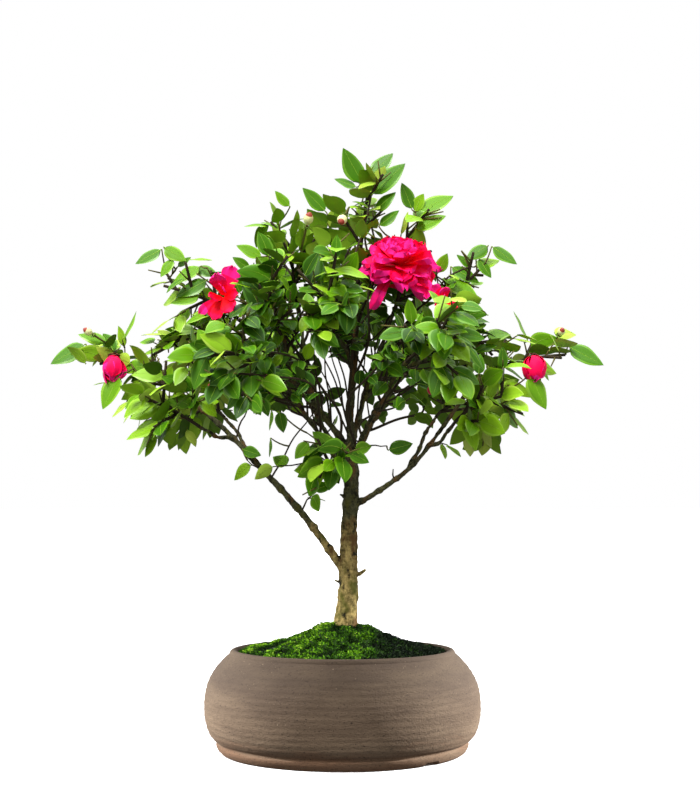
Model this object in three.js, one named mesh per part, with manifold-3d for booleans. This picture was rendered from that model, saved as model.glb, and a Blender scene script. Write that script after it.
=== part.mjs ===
// A flowering camellia bonsai in a round stoneware pot: the pot, its soil and moss, the trunk,
// the boughs, the masses of leaves that the boughs carry, and the open flowers.
// Millimetres, +Z up. The origin is the centre of the pot's flat underside, and the front faces -Y.
import * as THREE from "three";
import { mergeVertices } from "three/addons/utils/BufferGeometryUtils.js";
import Module from "manifold-3d";

const wasm = await Module();
wasm.setup();

// Clearances
const GAP = 0.3; // between two pieces that meet
const LIMB_CLEARANCE = 1.2; // from a leaf or twig to a limb that it doesn't grow from
const SPACE_MARGIN = 2.4; // how much nearer a leaf lies to its own stem than to any other
const LEAF_ROOM = 2.5; // further clear of limbs and flowers, as only some points of a leaf are tested
const MERGE_DISTANCE = 1e-4;

// Pot: a thrown bowl with a full belly, an inturned rim and a low foot with drain notches
const POT_HEIGHT = 92;
const BELLY_RADIUS = 125;
const BELLY_HEIGHT = 43;
const FOOT_RADIUS = 107;
const FOOT_HEIGHT = 10;
const FOOT_SWELL = 6;
const GROOVE_DEPTH = 1.6;
const RIM_RADIUS = 98; // middle of the rounded lip
const LIP_RADIUS = 4;
const WALL = 9;
const POT_SIDES = 26; // of the soil and the moss as well, so that they fit the wall
const OUTSIDE_STEPS = 3;
const INSIDE_STEPS = 2;
const LIP_STEPS = 3;
const HEEL = 3; // from the groove to where the wall begins, out and up
const BELLY_PULL = { below: 14, above: 22 }; // how far the wall runs straight below and above its widest
const HEEL_PULL = { inward: 3, up: 8 };
const SHOULDER_PULL = { out: 17, down: 14 };
const NOTCHES = { count: 3, first: -46, width: 20, height: 4, depth: 12 }; // angles in degrees
const DRAINS = { count: 3, first: 14, circle: 52, radius: 6, sides: 8 };

// Soil and the moss that covers it
const GROUND_HEIGHT = 112; // the flat cut under the trunk
const GROUND_RADIUS = 16;
const MOSS_PEAK = 119;
const MOSS_SLOPE = 0.3;
const MOSS_CREST = 8; // the peak is rounded off over this radius
const MOSS_THICKNESS = 6;
const MOSS_EDGE_RADIUS = 91;
const MOSS_RINGS = 5;
const CUSHIONS = { height: 1.3, width: 9, swell: 0.8, swellWidth: 14 };

// Trunk
const TRUNK_FOOT = [2.5, 0, GROUND_HEIGHT + GAP];
const TRUNK_BEND = [9.5, 0, 200];
const TRUNK_FORK = [6.5, 0, 278];
const TRUNK_RADIUS = { foot: 9.6, fork: 6.2, power: 1.3, flare: 2.4, flareShare: 0.05 };
const TRUNK_SIDES = 12;
const TRUNK_PHASE = 0.6;
const STUBS = [
  // cut-off side shoots: share of the trunk's length, direction in degrees, length, radius
  { at: 0.19, turn: 172, length: 7, radius: 1.6 },
  { at: 0.23, turn: -8, length: 11, radius: 1.9 },
  { at: 0.66, turn: 196, length: 6, radius: 1.8 },
];
const STUB_RISE = 35;
const STUB_TAPER = 0.7;

// Limbs: a bough bows upward by `bow` half-way, and is `base` and `end` in radius
const BOUGH_SIDES = 5;
const BOUGH_STEP = 24;
const WOBBLE = 1.1;
const WOBBLE_TURNS = [9, 7]; // radians over a limb's length, to its side and over it
const AXIS_PIECES = 12; // straight pieces that stand for a limb's middle line
const BOUGHS = [
  { name: "left_low", from: "trunk", at: 0.25, tip: [-150, -4, 324], bow: 15, base: 3.6, end: 1.9 },
  { name: "left_skirt", from: "left_low", at: 0.68, tip: [-127, -36, 291], bow: -3, base: 2, end: 1.5 },
  { name: "left_rear", from: "left_low", at: 0.54, tip: [-112, 54, 304], bow: 2, base: 2, end: 1.5 },
  { name: "right_low", from: "trunk", at: 0.64, tip: [112, -4, 322], bow: -16, base: 2.7, end: 1.7 },
  { name: "right_skirt", from: "right_low", at: 0.68, tip: [98, -34, 292], bow: -4, base: 2, end: 1.5 },
  { name: "right_rear", from: "right_low", at: 0.5, tip: [88, 54, 304], bow: 2, base: 2, end: 1.5 },
  { name: "front_left", from: "trunk", at: 0.72, tip: [-60, -62, 334], bow: 10, base: 2.4, end: 1.6 },
  { name: "rear_left", from: "trunk", at: 0.78, tip: [-48, 72, 338], bow: 8, base: 2.4, end: 1.6 },
  { name: "rear_right", from: "trunk", at: 0.83, tip: [56, 76, 342], bow: 8, base: 2.3, end: 1.6 },
  { name: "front_right", from: "trunk", at: 0.87, tip: [56, -66, 346], bow: 8, base: 2.3, end: 1.6 },
  { name: "left_mid", from: "trunk", at: 0.95, tip: [-96, 4, 362], bow: 16, base: 2.8, end: 1.7 },
  { name: "left_upper", from: "left_mid", at: 0.62, tip: [-94, -18, 390], bow: 4, base: 2.1, end: 1.5 },
  { name: "centre_left", from: "left_mid", at: 0.5, tip: [-54, -38, 372], bow: 4, base: 2, end: 1.5 },
  { name: "right_upper", from: "trunk", at: 0.97, tip: [46, 2, 396], bow: 6, base: 2.8, end: 1.8 },
  { name: "right_mid", from: "right_upper", at: 0.34, tip: [92, -2, 362], bow: 4, base: 2.3, end: 1.6 },
  { name: "right_high", from: "right_mid", at: 0.62, tip: [92, -18, 398], bow: 2, base: 1.9, end: 1.4 },
  { name: "top", from: "trunk", at: 0.99, tip: [14, 4, 424], bow: 0, base: 2.9, end: 1.9 },
  { name: "front_mid", from: "top", at: 0.42, tip: [-6, -38, 378], bow: 4, base: 2.2, end: 1.5 },
  { name: "rear_mid", from: "top", at: 0.5, tip: [14, 52, 388], bow: 4, base: 2.2, end: 1.5 },
  { name: "upper_left", from: "left_mid", at: 0.34, tip: [-42, 6, 408], bow: 6, base: 2.3, end: 1.6 },
  { name: "upper_rear", from: "top", at: 0.74, tip: [8, 34, 436], bow: 2, base: 1.9, end: 1.5 },
  { name: "inner", from: "front_left", at: 0.14, tip: [-6, -24, 258], bow: 0, base: 1.6, end: 1.3 },
];

// Masses: one stem from the tip of the bough of the same name to `end`, its twigs reaching `spread` round it
const MASSES = [
  { name: "left_low", end: [-228, -8, 356], spread: 56, twigs: 6, seed: 10 },
  { name: "left_skirt", end: [-178, -56, 318], spread: 54, twigs: 5, seed: 30 },
  { name: "left_rear", end: [-168, 104, 322], spread: 60, twigs: 5, seed: 30 },
  { name: "right_low", end: [203, -8, 358], spread: 56, twigs: 6, seed: 5 },
  { name: "right_skirt", end: [150, -56, 320], spread: 54, twigs: 5, seed: 49 },
  { name: "right_rear", end: [142, 104, 322], spread: 60, twigs: 5, seed: 30 },
  { name: "front_left", end: [-98, -126, 350], spread: 60, twigs: 5, seed: 45 },
  { name: "rear_left", end: [-76, 146, 364], spread: 60, twigs: 5, seed: 11 },
  { name: "rear_right", end: [90, 146, 368], spread: 60, twigs: 5, seed: 20 },
  { name: "front_right", end: [96, -126, 362], spread: 60, twigs: 5, seed: 64 },
  { name: "left_mid", end: [-160, 12, 378], spread: 54, twigs: 5, seed: 6 },
  { name: "left_upper", end: [-166, -26, 420], spread: 50, twigs: 5, seed: 54 },
  { name: "centre_left", end: [-72, -84, 412], spread: 56, twigs: 5, seed: 3 },
  { name: "right_upper", end: [60, 6, 484], spread: 52, twigs: 6, seed: 37 },
  { name: "right_mid", end: [146, 12, 374], spread: 54, twigs: 5, seed: 30 },
  { name: "right_high", end: [128, -26, 438], spread: 42, twigs: 5, seed: 28 },
  { name: "top", end: [24, 2, 515], spread: 48, twigs: 6, seed: 5 },
  { name: "front_mid", end: [-8, -98, 416], spread: 58, twigs: 6, seed: 22 },
  { name: "rear_mid", end: [14, 122, 432], spread: 60, twigs: 5, seed: 45 },
  { name: "upper_left", end: [-46, -6, 464], spread: 54, twigs: 6, seed: 9 },
  { name: "upper_rear", end: [4, 66, 488], spread: 54, twigs: 5, seed: 33 },
  { name: "inner", end: [-18, -56, 258], spread: 44, twigs: 4, seed: 30 },
];

// Twigs and leaves
const GOLDEN_ANGLE = THREE.MathUtils.degToRad(137.5);
const STREAMS = { perMass: 1000, leaves: 500, stemLeaves: 999 }; // each shoot has its own random numbers
const STEM_ONWARD = 0.4; // share of its length that a stem goes on the way its bough points
const STEM_END_RADIUS = 1.3;
const STEM_SIDES = 3;
const STEM_STEP = 20;
const TWIG_SIDES = 3;
const TWIG_RADIUS = { base: 1.6, end: 1.2 };
const TWIG_SPAN = [0.08, 0.92]; // shares of the stem between which twigs leave it
const TWIG_LEAN = [42, 72]; // degrees from the stem
const TWIG_LENGTH = [0.46, 0.72]; // shares of the mass's spread
const TWIG_RISE = 0.2;
const TWIG_STEP = 4; // a twig is tried this much longer at a time
const SHORTEST_TWIG = 11;
const LEAF_LENGTH = [31, 41];
const LEAF_WIDTH = 0.58; // share of its length
const LEAF_WIDEST = 0.46;
const LEAF_SPACING = 9.5;
const LEAF_LEAN = [38, 66]; // degrees from the twig
const LEAF_FLATNESS = 0.75;
const LEAF_DROOP = 0.1;
const LEAF_FOLD = 0.07;
const LEAF_ROOT = 0.6; // how far the root is sunk past the twig's middle
const LEAF_STALK = 0.07; // share of its length
const LEAF_ATTEMPTS = 8; // turns tried for a leaf before it is left out
const LEAF_TURN = 1.9; // radians between two attempts
const LEAF_APART = 6; // least distance between the middles of two leaves
const TIP_LEAF_LEAN = 22;
const FIRST_LEAF = 0.36; // share of a twig below which it is bare
const STEM_LEAVES_FROM = 0.45;
const LEAF_FACING = { up: 0.45, outward: 0.7, scatter: 0.8 };
const FOLIAGE_MIDDLE = [0, 0, 330];

// Flowers: on a stalk from share `at` of the stem of the mass `on`, opening towards `faces`
const FLOWERS = [
  { name: "large", on: "right_upper", at: 0.5, middle: [51, -40, 442], radius: 34, faces: [0, -1, 0.5] },
  { name: "left", on: "left_upper", at: 0.42, middle: [-110, -60, 416], radius: 19, faces: [-0.4, -1, 0.2] },
  { name: "right", on: "right_high", at: 0.4, middle: [90, -54, 408], radius: 13, faces: [0.3, -1, 0.1] },
  { name: "left_tip", on: "left_low", at: 0.62, middle: [-206, -26, 346], radius: 12, faces: [-0.2, -1, -0.3] },
  { name: "right_tip", on: "right_low", at: 0.62, middle: [172, -26, 346], radius: 12, faces: [0.2, -1, -0.3] },
  { name: "rear_left", on: "rear_left", at: 0.55, middle: [-92, 132, 352], radius: 20, faces: [-0.3, 1, 0.1] },
  { name: "rear_top", on: "upper_rear", at: 0.4, middle: [48, 76, 450], radius: 26, faces: [0.3, 1, 0.3] },
];
const FLOWER_STALK_RADIUS = 1.3;
const FLOWER_STALK_BEND = 0.3; // share of the stalk's reach
const FLOWER_BACK = 0.45; // share of the flower's radius
const FLOWER_OUTLOOK = 45; // leaves keep this far from in front of a flower
const FLOWER_PETALS = 6;
const PETAL_SCALLOP = 0.1;

// Looks
const MATERIALS = {
  pot: new THREE.MeshStandardMaterial({ color: 0x6e5a4a, roughness: 0.85, metalness: 0 }),
  soil: new THREE.MeshStandardMaterial({ color: 0x2c211a, roughness: 1, metalness: 0 }),
  moss: new THREE.MeshStandardMaterial({ color: 0x3c6a1c, roughness: 0.95, metalness: 0 }),
  bark: new THREE.MeshStandardMaterial({ color: 0x5f5136, roughness: 0.9, metalness: 0 }),
  leaf: new THREE.MeshStandardMaterial({ color: 0x4f7d24, roughness: 0.4, metalness: 0 }),
  petal: new THREE.MeshStandardMaterial({ color: 0xe8145a, roughness: 0.6, metalness: 0 }),
};

const vector = (xyz) => new THREE.Vector3(...xyz);
const radians = THREE.MathUtils.degToRad;
const between = ([low, high], share) => low + (high - low) * share;

// A repeatable stream of numbers from 0 to 1.
function seededRandom(seed) {
  let state = seed >>> 0;
  return () => {
    state = (state + 0x6d2b79f5) >>> 0;
    let mixed = Math.imul(state ^ (state >>> 15), state | 1);
    mixed ^= mixed + Math.imul(mixed ^ (mixed >>> 7), mixed | 61);
    return ((mixed ^ (mixed >>> 14)) >>> 0) / 4294967296;
  };
}

// A closed geometry as a solid: vertices merged, and the triangles that this collapses dropped.
function solidOf(geometry) {
  const bare = new THREE.BufferGeometry();
  bare.setAttribute("position", geometry.getAttribute("position"));
  bare.setIndex(geometry.index);
  const merged = mergeVertices(bare, MERGE_DISTANCE);
  const triangles = [];
  for (let i = 0; i < merged.index.count; i += 3) {
    const [a, b, c] = [0, 1, 2].map((corner) => merged.index.getX(i + corner));
    if (a !== b && b !== c && c !== a) triangles.push(a, b, c);
  }
  return new wasm.Manifold(
    new wasm.Mesh({
      numProp: 3,
      vertProperties: new Float32Array(merged.getAttribute("position").array),
      triVerts: new Uint32Array(triangles),
    }),
  );
}

// The largest body of a solid: loose scraps are dropped and sealed hollows filled.
function largestBody(solid) {
  return solid.decompose().reduce((best, body) => (body.volume() > best.volume() ? body : best));
}

function meshOf(name, solid, material) {
  const made = solid.getMesh();
  const geometry = new THREE.BufferGeometry();
  geometry.setAttribute("position", new THREE.BufferAttribute(new Float32Array(made.vertProperties), 3));
  geometry.setIndex(new THREE.BufferAttribute(new Uint32Array(made.triVerts), 1));
  geometry.computeVertexNormals();
  const mesh = new THREE.Mesh(geometry, material);
  mesh.name = name;
  return mesh;
}

// A profile of radius and height turned about the Z axis.
function turned(profile, sides) {
  return new THREE.LatheGeometry(profile, sides).rotateX(Math.PI / 2);
}

// Two directions square to a tangent and to each other.
function squareTo(tangent) {
  const reference = Math.abs(tangent.y) < 0.8 ? new THREE.Vector3(0, 1, 0) : new THREE.Vector3(1, 0, 0);
  const side = reference.cross(tangent).normalize();
  return [side, tangent.clone().cross(side)];
}

// The direction that leans away from an axis, turned about it.
function leaning(axis, lean, turn) {
  const [side, over] = squareTo(axis);
  return axis
    .clone()
    .multiplyScalar(Math.cos(lean))
    .addScaledVector(side, Math.sin(lean) * Math.cos(turn))
    .addScaledVector(over, Math.sin(lean) * Math.sin(turn));
}

// A limb: a quadratic curve that wobbles a little, and a radius at each share of its length.
class Limb {
  constructor(start, bend, tip, radiusAt, wobble = 0, phase = 0) {
    this.curve = new THREE.QuadraticBezierCurve3(start, bend, tip);
    this.radiusAt = radiusAt;
    this.wobble = wobble;
    this.phase = phase;
    this.length = this.curve.getLength();
    [this.side, this.over] = squareTo(tip.clone().sub(start).normalize());
    this.axis = Array.from({ length: AXIS_PIECES + 1 }, (_, i) => this.at(i / AXIS_PIECES));
  }

  at(share) {
    const fade = this.wobble * Math.sin(Math.PI * share);
    return this.curve
      .getPoint(share)
      .addScaledVector(this.side, fade * Math.sin(WOBBLE_TURNS[0] * share + this.phase))
      .addScaledVector(this.over, fade * Math.cos(WOBBLE_TURNS[1] * share + 2 * this.phase));
  }

  tangent(share) {
    const step = 0.02;
    return this.at(Math.min(1, share + step)).sub(this.at(Math.max(0, share - step))).normalize();
  }

  // Two directions square to the limb, which turn along it no more than the limb itself does.
  across(share) {
    const tangent = this.tangent(share);
    const side = this.over.clone().cross(tangent).normalize();
    return [side, tangent.cross(side)];
  }

  distanceTo(point) {
    const nearest = new THREE.Vector3();
    const piece = new THREE.Line3();
    let least = Infinity;
    for (let i = 1; i < this.axis.length; i++) {
      piece.set(this.axis[i - 1], this.axis[i]).closestPointToPoint(point, true, nearest);
      least = Math.min(least, nearest.distanceTo(point));
    }
    return least;
  }

  clearance(point) {
    return this.distanceTo(point) - this.radiusAt(0);
  }

  // The straight pieces of the middle line.
  pieces() {
    return this.axis.slice(1).map((point, i) => [this.axis[i], point]);
  }

  // A closed tube of this many sides, thicker by `extra` all round.
  solid(sides, step, extra = 0) {
    const steps = Math.max(1, Math.round(this.length / step));
    const tube = new THREE.CylinderGeometry(1, 1, 1, sides, steps);
    const positions = tube.getAttribute("position");
    const point = new THREE.Vector3();
    for (let i = 0; i < positions.count; i++) {
      point.fromBufferAttribute(positions, i);
      const share = point.y + 0.5;
      const [side, over] = this.across(share);
      const radius = this.radiusAt(share) + extra;
      const place = this.at(share)
        .addScaledVector(side, point.z * radius)
        .addScaledVector(over, point.x * radius);
      positions.setXYZ(i, place.x, place.y, place.z);
    }
    return solidOf(tube);
  }
}

const tapering = (base, end) => (share) => base + (end - base) * share;

// The wall from the foot to the lip, moved by `outward` from its outside.
function wallOutline(outward, steps) {
  const wall = new THREE.Path();
  wall.moveTo(FOOT_RADIUS + FOOT_SWELL + HEEL + outward, FOOT_HEIGHT + HEEL);
  wall.bezierCurveTo(
    BELLY_RADIUS - HEEL_PULL.inward + outward, FOOT_HEIGHT + HEEL_PULL.up,
    BELLY_RADIUS + outward, BELLY_HEIGHT - BELLY_PULL.below,
    BELLY_RADIUS + outward, BELLY_HEIGHT,
  );
  wall.bezierCurveTo(
    BELLY_RADIUS + outward, BELLY_HEIGHT + BELLY_PULL.above,
    RIM_RADIUS + SHOULDER_PULL.out + outward, POT_HEIGHT - SHOULDER_PULL.down,
    RIM_RADIUS + LIP_RADIUS + outward, POT_HEIGHT - LIP_RADIUS,
  );
  return wall.getPoints(steps);
}

function potSolid() {
  const foot = new THREE.Path();
  foot.moveTo(0, 0);
  foot.lineTo(FOOT_RADIUS, 0);
  foot.quadraticCurveTo(FOOT_RADIUS + FOOT_SWELL, 2, FOOT_RADIUS + FOOT_SWELL + 1, FOOT_HEIGHT - 2);
  foot.lineTo(FOOT_RADIUS + FOOT_SWELL + 1 - GROOVE_DEPTH, FOOT_HEIGHT);
  const lip = new THREE.Path();
  lip.absarc(RIM_RADIUS, POT_HEIGHT - LIP_RADIUS, LIP_RADIUS, 0, Math.PI);
  const inside = wallOutline(-WALL, INSIDE_STEPS).reverse();
  const profile = [
    ...foot.getPoints(3),
    ...wallOutline(0, OUTSIDE_STEPS),
    ...lip.getPoints(LIP_STEPS).slice(1, -1),
    ...inside,
    new THREE.Vector2(0, inside.at(-1).y),
  ];
  let pot = solidOf(turned(profile, POT_SIDES));
  for (let i = 0; i < NOTCHES.count; i++) {
    const length = 2 * (NOTCHES.depth + FOOT_SWELL);
    const notch = new THREE.BoxGeometry(length, NOTCHES.width, 2 * NOTCHES.height);
    notch.translate(FOOT_RADIUS + FOOT_SWELL, 0, 0);
    notch.rotateZ(radians(NOTCHES.first + (i * 360) / NOTCHES.count));
    pot = pot.subtract(solidOf(notch));
  }
  for (let i = 0; i < DRAINS.count; i++) {
    const drain = new THREE.CylinderGeometry(DRAINS.radius, DRAINS.radius, 4 * WALL, DRAINS.sides);
    drain.rotateX(Math.PI / 2);
    drain.translate(DRAINS.circle, 0, 0);
    drain.rotateZ(radians(DRAINS.first + (i * 360) / DRAINS.count));
    pot = pot.subtract(solidOf(drain));
  }
  return pot;
}

// Height of the moss at a distance from the middle of the pot.
function mossHeight(radius) {
  return MOSS_PEAK - MOSS_SLOPE * Math.hypot(radius, MOSS_CREST);
}

function soilHeight(radius) {
  return Math.min(GROUND_HEIGHT, mossHeight(radius) - MOSS_THICKNESS - GAP);
}

// The soil fills the pot up to the moss, with a flat on top where the trunk stands.
function soilSolid() {
  const edge = new THREE.Vector2(MOSS_EDGE_RADIUS, soilHeight(MOSS_EDGE_RADIUS));
  const wall = wallOutline(-WALL - GAP, INSIDE_STEPS);
  const floor = wall[0].y + GAP;
  const profile = [
    new THREE.Vector2(0, floor),
    new THREE.Vector2(wall[0].x, floor),
    ...wall.slice(1).filter((point) => point.y < edge.y - MOSS_THICKNESS),
    edge,
    new THREE.Vector2(GROUND_RADIUS, soilHeight(GROUND_RADIUS)),
    new THREE.Vector2(0, soilHeight(0)),
  ];
  return solidOf(turned(profile, POT_SIDES));
}

// The moss is a rough carpet over the soil, open round the foot of the trunk.
function mossSolid(trunk) {
  const shares = Array.from({ length: MOSS_RINGS + 1 }, (_, i) => 1 - i / MOSS_RINGS);
  const underside = [0, GROUND_RADIUS, MOSS_EDGE_RADIUS].map(
    (radius) => new THREE.Vector2(radius, soilHeight(radius) + GAP),
  );
  const top = shares
    .map((share) => share * MOSS_EDGE_RADIUS)
    .map((radius) => new THREE.Vector2(radius, mossHeight(radius)));
  const carpet = turned([...underside, ...top], POT_SIDES);
  const positions = carpet.getAttribute("position");
  for (let i = 0; i < positions.count; i++) {
    const [x, y, z] = [positions.getX(i), positions.getY(i), positions.getZ(i)];
    const isTop = z > mossHeight(Math.hypot(x, y)) - 1;
    if (isTop) positions.setZ(i, z + mossBump(x, y));
  }
  return largestBody(solidOf(carpet).subtract(trunk));
}

// Cushions of moss: gentle swells, flat at the rim and round the trunk.
function mossBump(x, y) {
  const radius = Math.hypot(x, y);
  const fade = Math.sin(Math.PI * Math.min(1, radius / MOSS_EDGE_RADIUS));
  const cushion = CUSHIONS.height * Math.sin(x / CUSHIONS.width + 1) * Math.cos(y / CUSHIONS.width);
  return fade * (cushion + CUSHIONS.swell * Math.sin((x + 2 * y) / CUSHIONS.swellWidth));
}

function trunkLimb() {
  const { foot, fork, power, flare, flareShare } = TRUNK_RADIUS;
  const radiusAt = (share) =>
    fork + (foot - fork) * Math.pow(1 - share, power) + flare * Math.exp(-share / flareShare);
  return new Limb(vector(TRUNK_FOOT), vector(TRUNK_BEND), vector(TRUNK_FORK), radiusAt, WOBBLE, TRUNK_PHASE);
}

function trunkSolid(trunk, extra) {
  const pieces = [trunk.solid(TRUNK_SIDES, BOUGH_STEP, extra)];
  for (const stub of STUBS) {
    const turn = radians(stub.turn);
    const rise = radians(STUB_RISE);
    const out = new THREE.Vector3(Math.cos(turn), Math.sin(turn), Math.tan(rise)).normalize();
    const root = trunk.at(stub.at);
    const tip = root.clone().addScaledVector(out, trunk.radiusAt(stub.at) + stub.length);
    const middle = root.clone().lerp(tip, 0.5);
    const shoot = new Limb(root, middle, tip, tapering(stub.radius, stub.radius * STUB_TAPER));
    pieces.push(shoot.solid(BOUGH_SIDES, BOUGH_STEP, extra));
  }
  return wasm.Manifold.union(pieces);
}

// Boughs by name, each starting on the middle line of the limb that bears it.
function boughLimbs(trunk) {
  const limbs = new Map([["trunk", trunk]]);
  BOUGHS.forEach((bough, i) => {
    const start = limbs.get(bough.from).at(bough.at);
    const tip = vector(bough.tip);
    const bend = start.clone().lerp(tip, 0.5);
    bend.z += 2 * bough.bow;
    limbs.set(bough.name, new Limb(start, bend, tip, tapering(bough.base, bough.end), WOBBLE, i));
  });
  limbs.delete("trunk");
  return limbs;
}

// The stem of a mass goes on from the tip of its bough and bends towards the mass's end.
function stemLimbs(boughs) {
  return new Map(
    MASSES.map((mass) => {
      const bough = boughs.get(mass.name);
      const onward = bough.tangent(1);
      const start = bough.at(1).addScaledVector(onward, GAP);
      const end = vector(mass.end);
      const bend = start.clone().addScaledVector(onward, STEM_ONWARD * start.distanceTo(end));
      return [mass.name, new Limb(start, bend, end, tapering(bough.radiusAt(1), STEM_END_RADIUS))];
    }),
  );
}

// A leaf: its root on a twig, the way it points, the way its face looks, and its length.
function leafAt(root, along, scatter, length) {
  const outward = root.clone().sub(vector(FOLIAGE_MIDDLE)).normalize();
  const facing = new THREE.Vector3(0, 0, LEAF_FACING.up)
    .addScaledVector(outward, LEAF_FACING.outward)
    .addScaledVector(scatter, LEAF_FACING.scatter);
  const across = facing.cross(along).normalize();
  return { root, along, across, over: along.clone().cross(across), length };
}

// A point of a leaf, in shares of its length along it, across it and over it.
function leafPoint(leaf, along, across, over) {
  return leaf.root
    .clone()
    .addScaledVector(leaf.along, along * leaf.length)
    .addScaledVector(leaf.across, across * leaf.length)
    .addScaledVector(leaf.over, over * leaf.length);
}

function leafEdge(leaf) {
  return [
    leafPoint(leaf, 1, 0, -LEAF_DROOP),
    leafPoint(leaf, LEAF_WIDEST, LEAF_WIDTH / 2, LEAF_FOLD),
    leafPoint(leaf, LEAF_WIDEST, -LEAF_WIDTH / 2, LEAF_FOLD),
  ];
}

// Points that stand for a whole leaf when its place is tested.
function leafProbes(leaf) {
  const [tip, left, right] = leafEdge(leaf);
  const middle = leafPoint(leaf, LEAF_WIDEST, 0, 0);
  const near = leafPoint(leaf, LEAF_WIDEST / 2, 0, 0);
  const neck = leafPoint(leaf, LEAF_STALK, 0, 0);
  const towardsTip = [left, right, middle].map((point) => point.clone().lerp(tip, 0.5));
  return [tip, left, right, middle, near, neck, ...towardsTip];
}

// The two halves of a leaf's blade, from the end of its short stalk.
function leafHalves(leaf) {
  const [tip, left, right] = leafEdge(leaf);
  const neck = leafPoint(leaf, LEAF_STALK, 0, 0);
  return [
    [neck, left, tip],
    [neck, right, tip],
  ];
}

// Whether the straight piece from a to b passes through a leaf.
function pierces(a, b, leaf) {
  const ray = new THREE.Ray(a, b.clone().sub(a).normalize());
  const hit = new THREE.Vector3();
  return leafHalves(leaf).some(
    (corners) => ray.intersectTriangle(...corners, false, hit) && hit.distanceTo(a) < a.distanceTo(b),
  );
}

// Whether two leaves lie too close or pass through each other.
function collide(leaf, other) {
  const middle = leafPoint(leaf, LEAF_WIDEST, 0, 0);
  const otherMiddle = leafPoint(other, LEAF_WIDEST, 0, 0);
  if (middle.distanceTo(otherMiddle) < LEAF_APART) return true;
  const edges = (blade) => leafHalves(blade).flatMap(([a, b, c]) => [[a, b], [b, c], [a, c]]);
  const cuts = (blade, through) => edges(blade).some(([a, b]) => pierces(a, b, through));
  return cuts(leaf, other) || cuts(other, leaf);
}

// A tetrahedron drawn out to a leaf: its root and tip, and the two ends of its widest part.
function leafSolid(leaf) {
  const root = leafPoint(leaf, -LEAF_ROOT / leaf.length, 0, 0);
  const [tip, left, right] = leafEdge(leaf);
  const shape = new THREE.TetrahedronGeometry(1);
  const positions = shape.getAttribute("position");
  const corner = new THREE.Vector3();
  for (let i = 0; i < positions.count; i++) {
    corner.fromBufferAttribute(positions, i);
    const pair = corner.z > 0 ? [tip, root] : [left, right];
    const place = pair[corner.x > 0 ? 1 : 0];
    positions.setXYZ(i, place.x, place.y, place.z);
  }
  return solidOf(shape);
}

// One leaf at a share of a shoot: the last one points onward, the others lean out by turns.
// It is turned round the shoot until it fits, and left out if it never does.
function leafOnShoot(shoot, share, turn, random, fits) {
  const lean = share < 1 ? between(LEAF_LEAN, random()) : TIP_LEAF_LEAN * random();
  const length = between(LEAF_LENGTH, random());
  const scatter = new THREE.Vector3(random() - 0.5, random() - 0.5, random() - 0.5);
  for (let attempt = 0; attempt < LEAF_ATTEMPTS; attempt++) {
    const along = leaning(shoot.tangent(share), radians(lean), turn + attempt * LEAF_TURN);
    if (share < 1) along.z *= LEAF_FLATNESS;
    const leaf = leafAt(shoot.at(share), along.normalize(), scatter, length);
    if (fits(leaf)) return [leaf];
  }
  return [];
}

// Shares of a shoot where its leaves stand, from its bare foot to its tip.
function leafShares(shoot, from) {
  const count = Math.max(1, Math.round((shoot.length * (1 - from)) / LEAF_SPACING));
  return Array.from({ length: count + 1 }, (_, i) => from + ((1 - from) * i) / count);
}

// A side twig of a mass, as long as its space lets it be up to its wanted length.
function twigOf(mass, stem, i, isFree) {
  const random = seededRandom(STREAMS.perMass * mass.seed + i);
  const share = between(TWIG_SPAN, (i + 0.2 + 0.6 * random()) / mass.twigs);
  const lean = radians(between(TWIG_LEAN, random()));
  const onward = leaning(stem.tangent(share), lean, i * GOLDEN_ANGLE + mass.seed + random());
  onward.z += TWIG_RISE;
  onward.normalize();
  const wanted = mass.spread * between(TWIG_LENGTH, random());
  const root = stem.at(share);
  const tipAt = (length) => root.clone().addScaledVector(onward, length);
  let length = 0;
  while (length < wanted && isFree(tipAt(length + TWIG_STEP), TWIG_RADIUS.base)) length += TWIG_STEP;
  return new Limb(root, tipAt(length / 2), tipAt(length), tapering(TWIG_RADIUS.base, TWIG_RADIUS.end));
}

// The twigs and leaves of one mass, grown by a seeded rule and kept inside the mass's own space.
function growMass(mass, stem, isFree) {
  const tried = Array.from({ length: mass.twigs }, (_, i) => twigOf(mass, stem, i, isFree));
  const twigs = tried.filter((twig) => twig.length > SHORTEST_TWIG);
  const leaves = [];
  const addLeaves = (shoot, from, seed) => {
    const random = seededRandom(seed);
    const first = 2 * Math.PI * random();
    const wood = [stem, ...twigs].filter((limb) => limb !== shoot);
    const fits = (leaf) =>
      leafProbes(leaf).every((point) => isFree(point, LEAF_ROOM)) &&
      !leaves.some((other) => collide(leaf, other)) &&
      !wood.some((limb) => limb.pieces().some(([a, b]) => pierces(a, b, leaf)));
    leafShares(shoot, from).forEach((share, i) => {
      leaves.push(...leafOnShoot(shoot, share, first + i * GOLDEN_ANGLE, random, fits));
    });
  };
  const firstSeed = STREAMS.perMass * mass.seed;
  twigs.forEach((twig, i) => addLeaves(twig, FIRST_LEAF, firstSeed + STREAMS.leaves + i));
  addLeaves(stem, STEM_LEAVES_FROM, firstSeed + STREAMS.stemLeaves);
  return { twigs, leaves };
}

function massSolid(stem, { twigs, leaves }) {
  const pieces = [
    stem.solid(STEM_SIDES, STEM_STEP),
    ...twigs.map((twig) => twig.solid(TWIG_SIDES, twig.length)),
    ...leaves.map(leafSolid),
  ];
  return largestBody(wasm.Manifold.union(pieces));
}

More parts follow.
